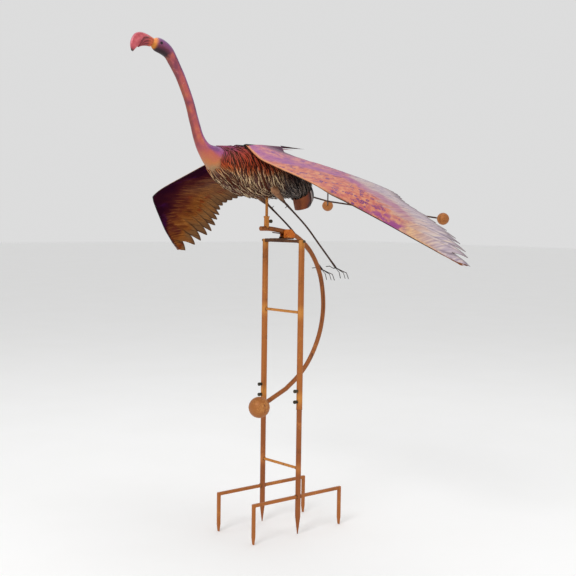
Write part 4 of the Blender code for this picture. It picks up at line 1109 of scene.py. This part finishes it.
def make_wing(name, side):
    shape = Shape()
    rows = []
    start = -0.5
    end = len(WING_TIPS) - 1 + ROOT_COLUMNS
    count = int((end - start) * COLUMNS_EACH)
    span = LEADING_EDGE[-1][0]
    for column in range(count + 1):
        at = start + (end - start) * column / count
        front, rear, aside = wing_column(at)
        front = (front[0], along_line(FRONT_SMOOTH, front[0]))
        row = []
        for step in range(WING_ROWS + 1):
            share = step / WING_ROWS
            x, y = wing_point(front, rear, share, at)
            feathered = ease(share, 0.32, 0.62) * ease(-at, -21.6, -21.0)
            rib = RIB_HEIGHT * math.exp(-(aside / 0.055) ** 2)
            lap = LAP_HEIGHT * (aside + 0.5) * ease(0.5 - abs(aside), 0.0, 0.12)
            barbs = BARB_HEIGHT * math.sin(abs(aside) * 46.0 + share * 150.0)
            z = wing_height(x, y) + feathered * (rib + lap + barbs)
            z += WING_DENT_HEIGHT * noise.noise(Vector((x, y, 0.0)) * 30.0)
            row.append(shape.add((side * x, y, z), span=x / span, chord=share, feather=2 * abs(aside)))
        rows.append(row if side > 0 else list(reversed(row)))
    shape.skin(rows, loop=False, caps=False)
    paints = [WING_TOP_PAINT, WING_UNDER_PAINT]
    wing = shape.make(name + "_wing_sheet", paints, name + "_wing_body", "pink", [name + "_wing"], 50.0)
    add_wall(wing, WING_SHEET, under=1)

    edge = Shape()
    route = [(side * x, y - 0.0006, wing_height(x, y) - 0.0004) for x, y in FRONT_SMOOTH]
    edge.sweep(route, [WING_EDGE_RADIUS] * len(route), 10)
    edge.make(name + "_wing_edge", [EDGE_PAINT], name + "_wing_body", "pink")


def make_leg(name, side):
    route = smooth_route(LEG_ROUTE, 6)
    shape = Shape()
    places = []
    radii = []
    knee = KNEE * 6
    for index, (x, y, z, radius) in enumerate(route):
        places.append((side * x, y, z - LEG_DROP[name]))
        bulge = 0.0009 * math.exp(-((index - knee) / 1.6) ** 2)
        ankle = 0.0008 * math.exp(-((index - len(route) + 1) / 1.4) ** 2)
        radii.append(radius + bulge + ankle)
    shape.sweep(places, radii, 14)
    spur_root = Vector(LEG_ROUTE[KNEE][:3])
    spur_root.x *= side
    spur_root.z -= LEG_DROP[name]
    lean = Vector(SPUR_LEAN[name]).normalized() * SPUR_LENGTH
    spur = [spur_root + lean * share for share in (0.0, 0.3, 0.6, 0.85, 1.0)]
    shape.sweep(spur, [0.0018, 0.0017, 0.0015, 0.0011, 0.0005], 8)
    shape.make(name + "_leg_rod", [LEG_PAINT], "rocker", "dark", [name + "_leg"])


def ball_shape(centre, radius, seed, rings):
    """A welded ball, a little dented, with a low seam round its middle."""
    shape = Shape()
    shift = Vector((seed, 0.0, 0.0))
    rows = []
    count = rings * 3 // 2
    for ring in range(1, rings):
        polar = math.pi * ring / rings
        ridge = BALL_SEAM * (math.exp(-((polar - math.pi / 2) / 0.05) ** 2) - 1)
        row = []
        for step in range(count):
            angle = 2 * math.pi * step / count
            across = math.sin(polar)
            out = Vector((across * math.cos(angle), across * math.sin(angle), math.cos(polar)))
            dent = BALL_DENT * radius * (noise.noise(out * 2.6 + shift) - 0.35)
            row.append(shape.add(centre + out * (radius + dent + ridge)))
        rows.append(row)
    pole = Vector((0, 0, radius * 0.992))
    top = shape.add(centre + pole)
    bottom = shape.add(centre - pole)
    for index in range(count):
        after = (index + 1) % count
        shape.faces.append((rows[0][after], rows[0][index], top))
        shape.faces.append((rows[-1][index], rows[-1][after], bottom))
    shape.skin(rows, caps=False)
    return shape


def node_middle(node):
    low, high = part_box(node)
    return (low + high) / 2, (high - low) / 2


def make_balls():
    balls = [("round_counterweight", "counterweight_ball", "rocker", 3.0, 26)]
    for name in SIDES:
        balls.append((name + "_wing_ball", name + "_weight", name + "_wing_body", 7.0, 20))
    for piece, node, body, seed, rings in balls:
        centre, half = node_middle(node)
        ball_shape(centre, half.z, seed, rings).make(piece, [BALL_PAINT], body, "rust", [node], 80.0)


def add_bead(shape, route, size=WELD_RADIUS):
    """A lumpy weld bead along a route."""
    length = 0.0
    radii = [size]
    for before, after in zip(route, route[1:]):
        length += (Vector(after) - Vector(before)).length
        radii.append(size * (1 + 0.22 * math.sin(length / 0.0007) * math.cos(length / 0.0023)))
    shape.sweep(route, radii, 10)


def ring_route(centre, axis, radius, count=40):
    """A closed circle, whose last point is its first."""
    axis = Vector(axis).normalized()
    ring = circle(Vector(centre), *plane_of(axis), radius, count)
    return ring + ring[:1]


def frame_route(centre, along_y, half_a, half_z):
    """A loop round a flat bar; its broad side lies along Y, or along X."""
    corners = [(-1, -1), (1, -1), (1, 1), (-1, 1), (-1, -1)]
    route = []
    for first, second in zip(corners, corners[1:]):
        for step in range(FRAME_STEPS):
            a, z = between(first, second, step / FRAME_STEPS)
            out = (0.0, a * half_a, z * half_z) if along_y else (a * half_a, 0.0, z * half_z)
            route.append(Vector(centre) + Vector(out))
    return route + route[:1]


def turned(name, node, paint, profile, centre, axis, sides, body="stand", slot="rust"):
    """A turned piece in the place of a node."""
    shape = Shape()
    shape.turn(profile, centre, axis, sides)
    shape.make(name, [paint], body, slot, [node])


def ring_on_arm(radius, level):
    """The line where an upright tube of the given radius meets the arm."""
    route = []
    for step in range(49):
        angle = 2 * math.pi * step / 48
        x = radius * math.cos(angle)
        rise = math.sqrt(max(ARM_RADIUS ** 2 - x ** 2, 0.0))
        route.append(Vector((x, SLEEVE_Y + radius * math.sin(angle), level + rise)))
    return route


def make_arm():
    """The C shaped arm, with the sleeve welded on it and a weld where it meets the ball."""
    route = smooth_route([(0.0, y, z) for y, z in ARM_ROUTE], 8)
    middle, half = node_middle("counterweight_ball")
    last = Vector(route[-1])
    run = (middle - last).normalized()
    touch = middle - run * half.z
    route += [tuple(last.lerp(touch, share)) for share in (0.25, 0.5, 0.75, 1.0)]
    first = Vector(route[0])
    back = (first - Vector(route[1])).normalized()
    route = [tuple(first + back * reach) for reach in ARM_TIP] + route
    arm = Shape()
    arm.sweep(route, [ARM_RADIUS * 0.72, ARM_RADIUS * 0.92] + [ARM_RADIUS] * (len(route) - 2), 28)
    arm.make("curved_arm", [ARM_PAINT], "rocker", "rust", ["arm"])

    place, size = node_middle("sleeve")
    top = place.z + size.z
    collar = size.x
    neck = collar * SLEEVE_NECK_SHARE
    level = along_line(ARM_ROUTE, SLEEVE_Y)
    profile = [(neck, level + 0.001), (neck, top - 0.0068), (collar * 0.95, top - 0.0062),
               (collar, top - 0.0050), (collar, top - 0.0012), (collar * 0.94, top), (collar * 0.5, top)]
    turned("post_sleeve", "sleeve", GOLD_PAINT, profile, (0.0, SLEEVE_Y, 0.0), UP, 36, "rocker")

    beads = Shape()
    add_bead(beads, ring_on_arm(neck, level))
    add_bead(beads, ring_route(touch + run * 0.0008, run, ARM_RADIUS * 0.98), BALL_WELD_RADIUS)
    beads.make("rocker_welds", [WELD_PAINT], "rocker", "rust")


def thumb_screw(name, node, body, root, out, nut):
    """A knurled head on a threaded shank that goes through a welded nut."""
    middle, size = node_middle(node)
    out = Vector((0, out, 0))
    neck = (middle - root).y * out.y + size.y - KNOB_LENGTH
    turns = int(neck / THREAD_PITCH)
    shank = [(AXIS_RADIUS, -0.001), (SHANK_RADIUS, -0.001)]
    for turn in range(turns):
        base = neck * turn / turns
        shank += [(THREAD_RADII[0], base), (THREAD_RADII[1], base + neck / turns * 0.5)]
    shape = Shape()
    shape.turn(shank + [(SHANK_RADIUS, neck), (AXIS_RADIUS, neck)], root, out, 18)
    welded = [(AXIS_RADIUS, 0.0), (nut, 0.0), (nut, 0.0040), (nut * 0.86, 0.0046), (AXIS_RADIUS, 0.0046)]
    shape.turn(welded, root, out, 6)
    rows = []
    for share, level in ((0.05, 0.0), (0.90, 0.0), (1.0, 0.10), (1.0, 0.82), (0.86, 1.0), (0.05, 1.0)):
        centre = root + out * (neck + KNOB_LENGTH * level)
        ring = circle(centre, *plane_of(out), size.x * share, KNOB_SIDES)
        rows.append([shape.add(centre + (point - centre) * (1 - KNURL_DEPTH * (step % 2)))
                     for step, point in enumerate(ring)])
    shape.skin(rows)
    shape.make(name, [KNOB_PAINT], body, "dark", [node])


def make_screws():
    for name in SIDES:
        post, post_half = node_middle(name + "_upper_post")
        for index in (1, 2):
            node = "%s_clamp_screw_%d" % (name, index)
            piece = "%s_thumb_screw_%d" % (name, index)
            root = Vector((post.x, post.y - post_half.y, node_middle(node)[0].z))
            thumb_screw(piece, node, "stand", root, -1, POST_NUT_RADIUS)
    neck = node_middle("sleeve")[1].x * SLEEVE_NECK_SHARE
    root = Vector((0.0, SLEEVE_Y + neck, node_middle("sleeve_screw")[0].z))
    thumb_screw("sleeve_thumb_screw", "sleeve_screw", "rocker", root, 1, SLEEVE_NUT_RADIUS)


def make_posts():
    """Round tubes over round bars, with the rungs, rail and feet welded to them."""
    beads = Shape()
    for name, side in SIDES.items():
        middle, half = node_middle(name + "_upper_post")
        low = middle.z - half.z
        high = middle.z + half.z
        radius = half.x
        foot = (middle.x, middle.y, 0.0)
        profile = [(radius * 0.86, low), (radius, low + 0.0008), (radius, low + 0.006),
                   (radius * 0.985, low + 0.0068), (radius * 0.985, high - 0.0015), (radius * 0.94, high),
                   (0.0002, high)]
        turned(name + "_post_tube", name + "_upper_post", STAND_PAINT, profile, foot, UP, 44)
        inner, inner_half = node_middle(name + "_lower_post")
        bottom = inner.z - inner_half.z
        top = inner.z + inner_half.z
        core = inner_half.x
        profile = [(0.0006, bottom), (0.0022, bottom + 0.003), (core * 0.96, bottom + 0.068),
                   (core, bottom + 0.074), (core, top), (0.0002, top)]
        turned(name + "_post_bar", name + "_lower_post", LOWER_PAINT, profile, foot, UP, 36)
        add_bead(beads, ring_route((middle.x, 0.0, low + 0.0006), UP, core + WELD_SINK), POST_WELD_RADIUS)
        for rung, reach in (("mid_rung", radius), ("low_rung", core)):
            place, size = node_middle(rung)
            centre = (side * (abs(middle.x) - reach + WELD_SINK), 0.0, place.z)
            add_bead(beads, ring_route(centre, (1, 0, 0), size.z))
        place, size = node_middle("top_rail")
        centre = (side * (abs(middle.x) - radius + 0.0012), 0.0, place.z)
        add_bead(beads, frame_route(centre, True, size.y, size.z), RAIL_WELD_RADIUS)
        for end, way in (("front", -1), ("rear", 1)):
            place, size = node_middle("%s_%s_foot" % (name, end))
            centre = (middle.x, way * (core - WELD_SINK), size.x)
            add_bead(beads, frame_route(centre, False, size.x, size.x))
    beads.make("stand_welds", [WELD_PAINT], "stand", "rust")
    for rung in ("mid_rung", "low_rung"):
        place, size = node_middle(rung)
        profile = [(size.z, -size.x), (size.z, size.x)]
        turned(rung + "_bar", rung, STAND_PAINT, profile, place, (1, 0, 0), 28)
    place, size = node_middle("bird_post")
    profile = [(size.x, -size.z + ARM_RADIUS), (size.x, size.z)]
    turned("bird_post_rod", "bird_post", GOLD_PAINT, profile, place, UP, 24, "rocker", "orange")


def round_edges():
    """Small rounded edges on the plates that stay as they are."""
    for name, width in (("bracket", 0.0008), ("top_rail", 0.0012)):
        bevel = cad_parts[name].modifiers.new("edges", "BEVEL")
        bevel.width = width
        bevel.segments = 2
        bevel.limit_method = "ANGLE"


REPAINT = {
    STAND_PAINT: ("foot",),
    RAIL_PAINT: ("top_rail",),
    ARM_PAINT: ("pivot_hub",),
    BRACKET_PAINT: ("bracket", "pivot_bolt"),
    KNOB_PAINT: ("pivot_nut", "rail_bolt"),
    PIN_PAINT: ("stop_pin",),
    RUBBER_PAINT: ("stop_bumper",),
    DARK_PAINT: ("toes", "hinge", "knuckle"),
    ROD_PAINT: ("weight_rod",),
}


def repaint_nodes():
    """Gives every CAD node that still shows its own paint."""
    for node_name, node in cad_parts.items():
        for material, words in REPAINT.items():
            if any(word in node_name for word in words):
                node.data.materials.clear()
                node.data.materials.append(material)
                break


def make_stage():
    """A wide pale floor at the lowest point of the prongs."""
    low = CAD_BOX[0][2]
    corners = [(-1, -1), (1, -1), (1, 1), (-1, 1)]
    mesh = bpy.data.meshes.new("floor")
    mesh.from_pydata([(x * FLOOR_HALF, y * FLOOR_HALF, low) for x, y in corners], [], [(0, 1, 2, 3)])
    floor = bpy.data.objects.new("floor", mesh)
    bpy.context.scene.collection.objects.link(floor)
    paint = Paint("floor_paint", roughness=0.9, metallic=0.0)
    mesh.materials.append(paint.done(paint.mix(paint.noise(2.0), (246, 246, 245), (250, 250, 250))))


def add_light(name, place, size, power):
    data = bpy.data.lights.new(name, "AREA")
    data.shape = "DISK"
    data.size = size
    data.energy = power
    light = bpy.data.objects.new(name, data)
    bpy.context.scene.collection.objects.link(light)
    light.location = place
    light.rotation_euler = (Vector(LIGHT_TARGET) - Vector(place)).to_track_quat("-Z", "Y").to_euler()


def make_lights():
    for light in LIGHTS:
        add_light(*light)
    bpy.context.scene.view_settings.view_transform = "Standard"
    world = bpy.data.worlds.new("studio")
    bpy.context.scene.world = world
    world.use_nodes = True
    background = world.node_tree.nodes["Background"]
    background.inputs["Color"].default_value = (1.0, 1.0, 1.0, 1.0)
    background.inputs["Strength"].default_value = SKY_STRENGTH


def make_camera():
    azimuth = math.radians(CAMERA_AZIMUTH)
    pitch = math.radians(CAMERA_PITCH)
    level = Vector((-math.sin(azimuth), math.cos(azimuth), 0.0))
    right = Vector((math.cos(azimuth), math.sin(azimuth), 0.0))
    ahead = level * math.cos(pitch) - Vector((0.0, 0.0, 1.0)) * math.sin(pitch)
    up = right.cross(ahead)
    turn = Matrix((right, up, -ahead)).transposed() @ Matrix.Rotation(math.radians(CAMERA_ROLL), 3, "Z")
    data = bpy.data.cameras.new("photo_camera")
    data.lens = CAMERA_LENS
    data.sensor_width = SENSOR_WIDTH
    data.clip_end = 200.0
    camera = bpy.data.objects.new("photo_camera", data)
    bpy.context.scene.collection.objects.link(camera)
    camera.matrix_world = Matrix.Translation(CAMERA_PLACE) @ turn.to_4x4()
    bpy.context.scene.camera = camera


make_stage()
make_lights()
make_camera()
make_skin()
make_strands()
make_tail()
make_back_tips()
make_eyes()
make_beak()
for side_name, side_sign in SIDES.items():
    make_wing(side_name, side_sign)
    make_leg(side_name, side_sign)
make_balls()
make_arm()
make_posts()
make_screws()
round_edges()
repaint_nodes()
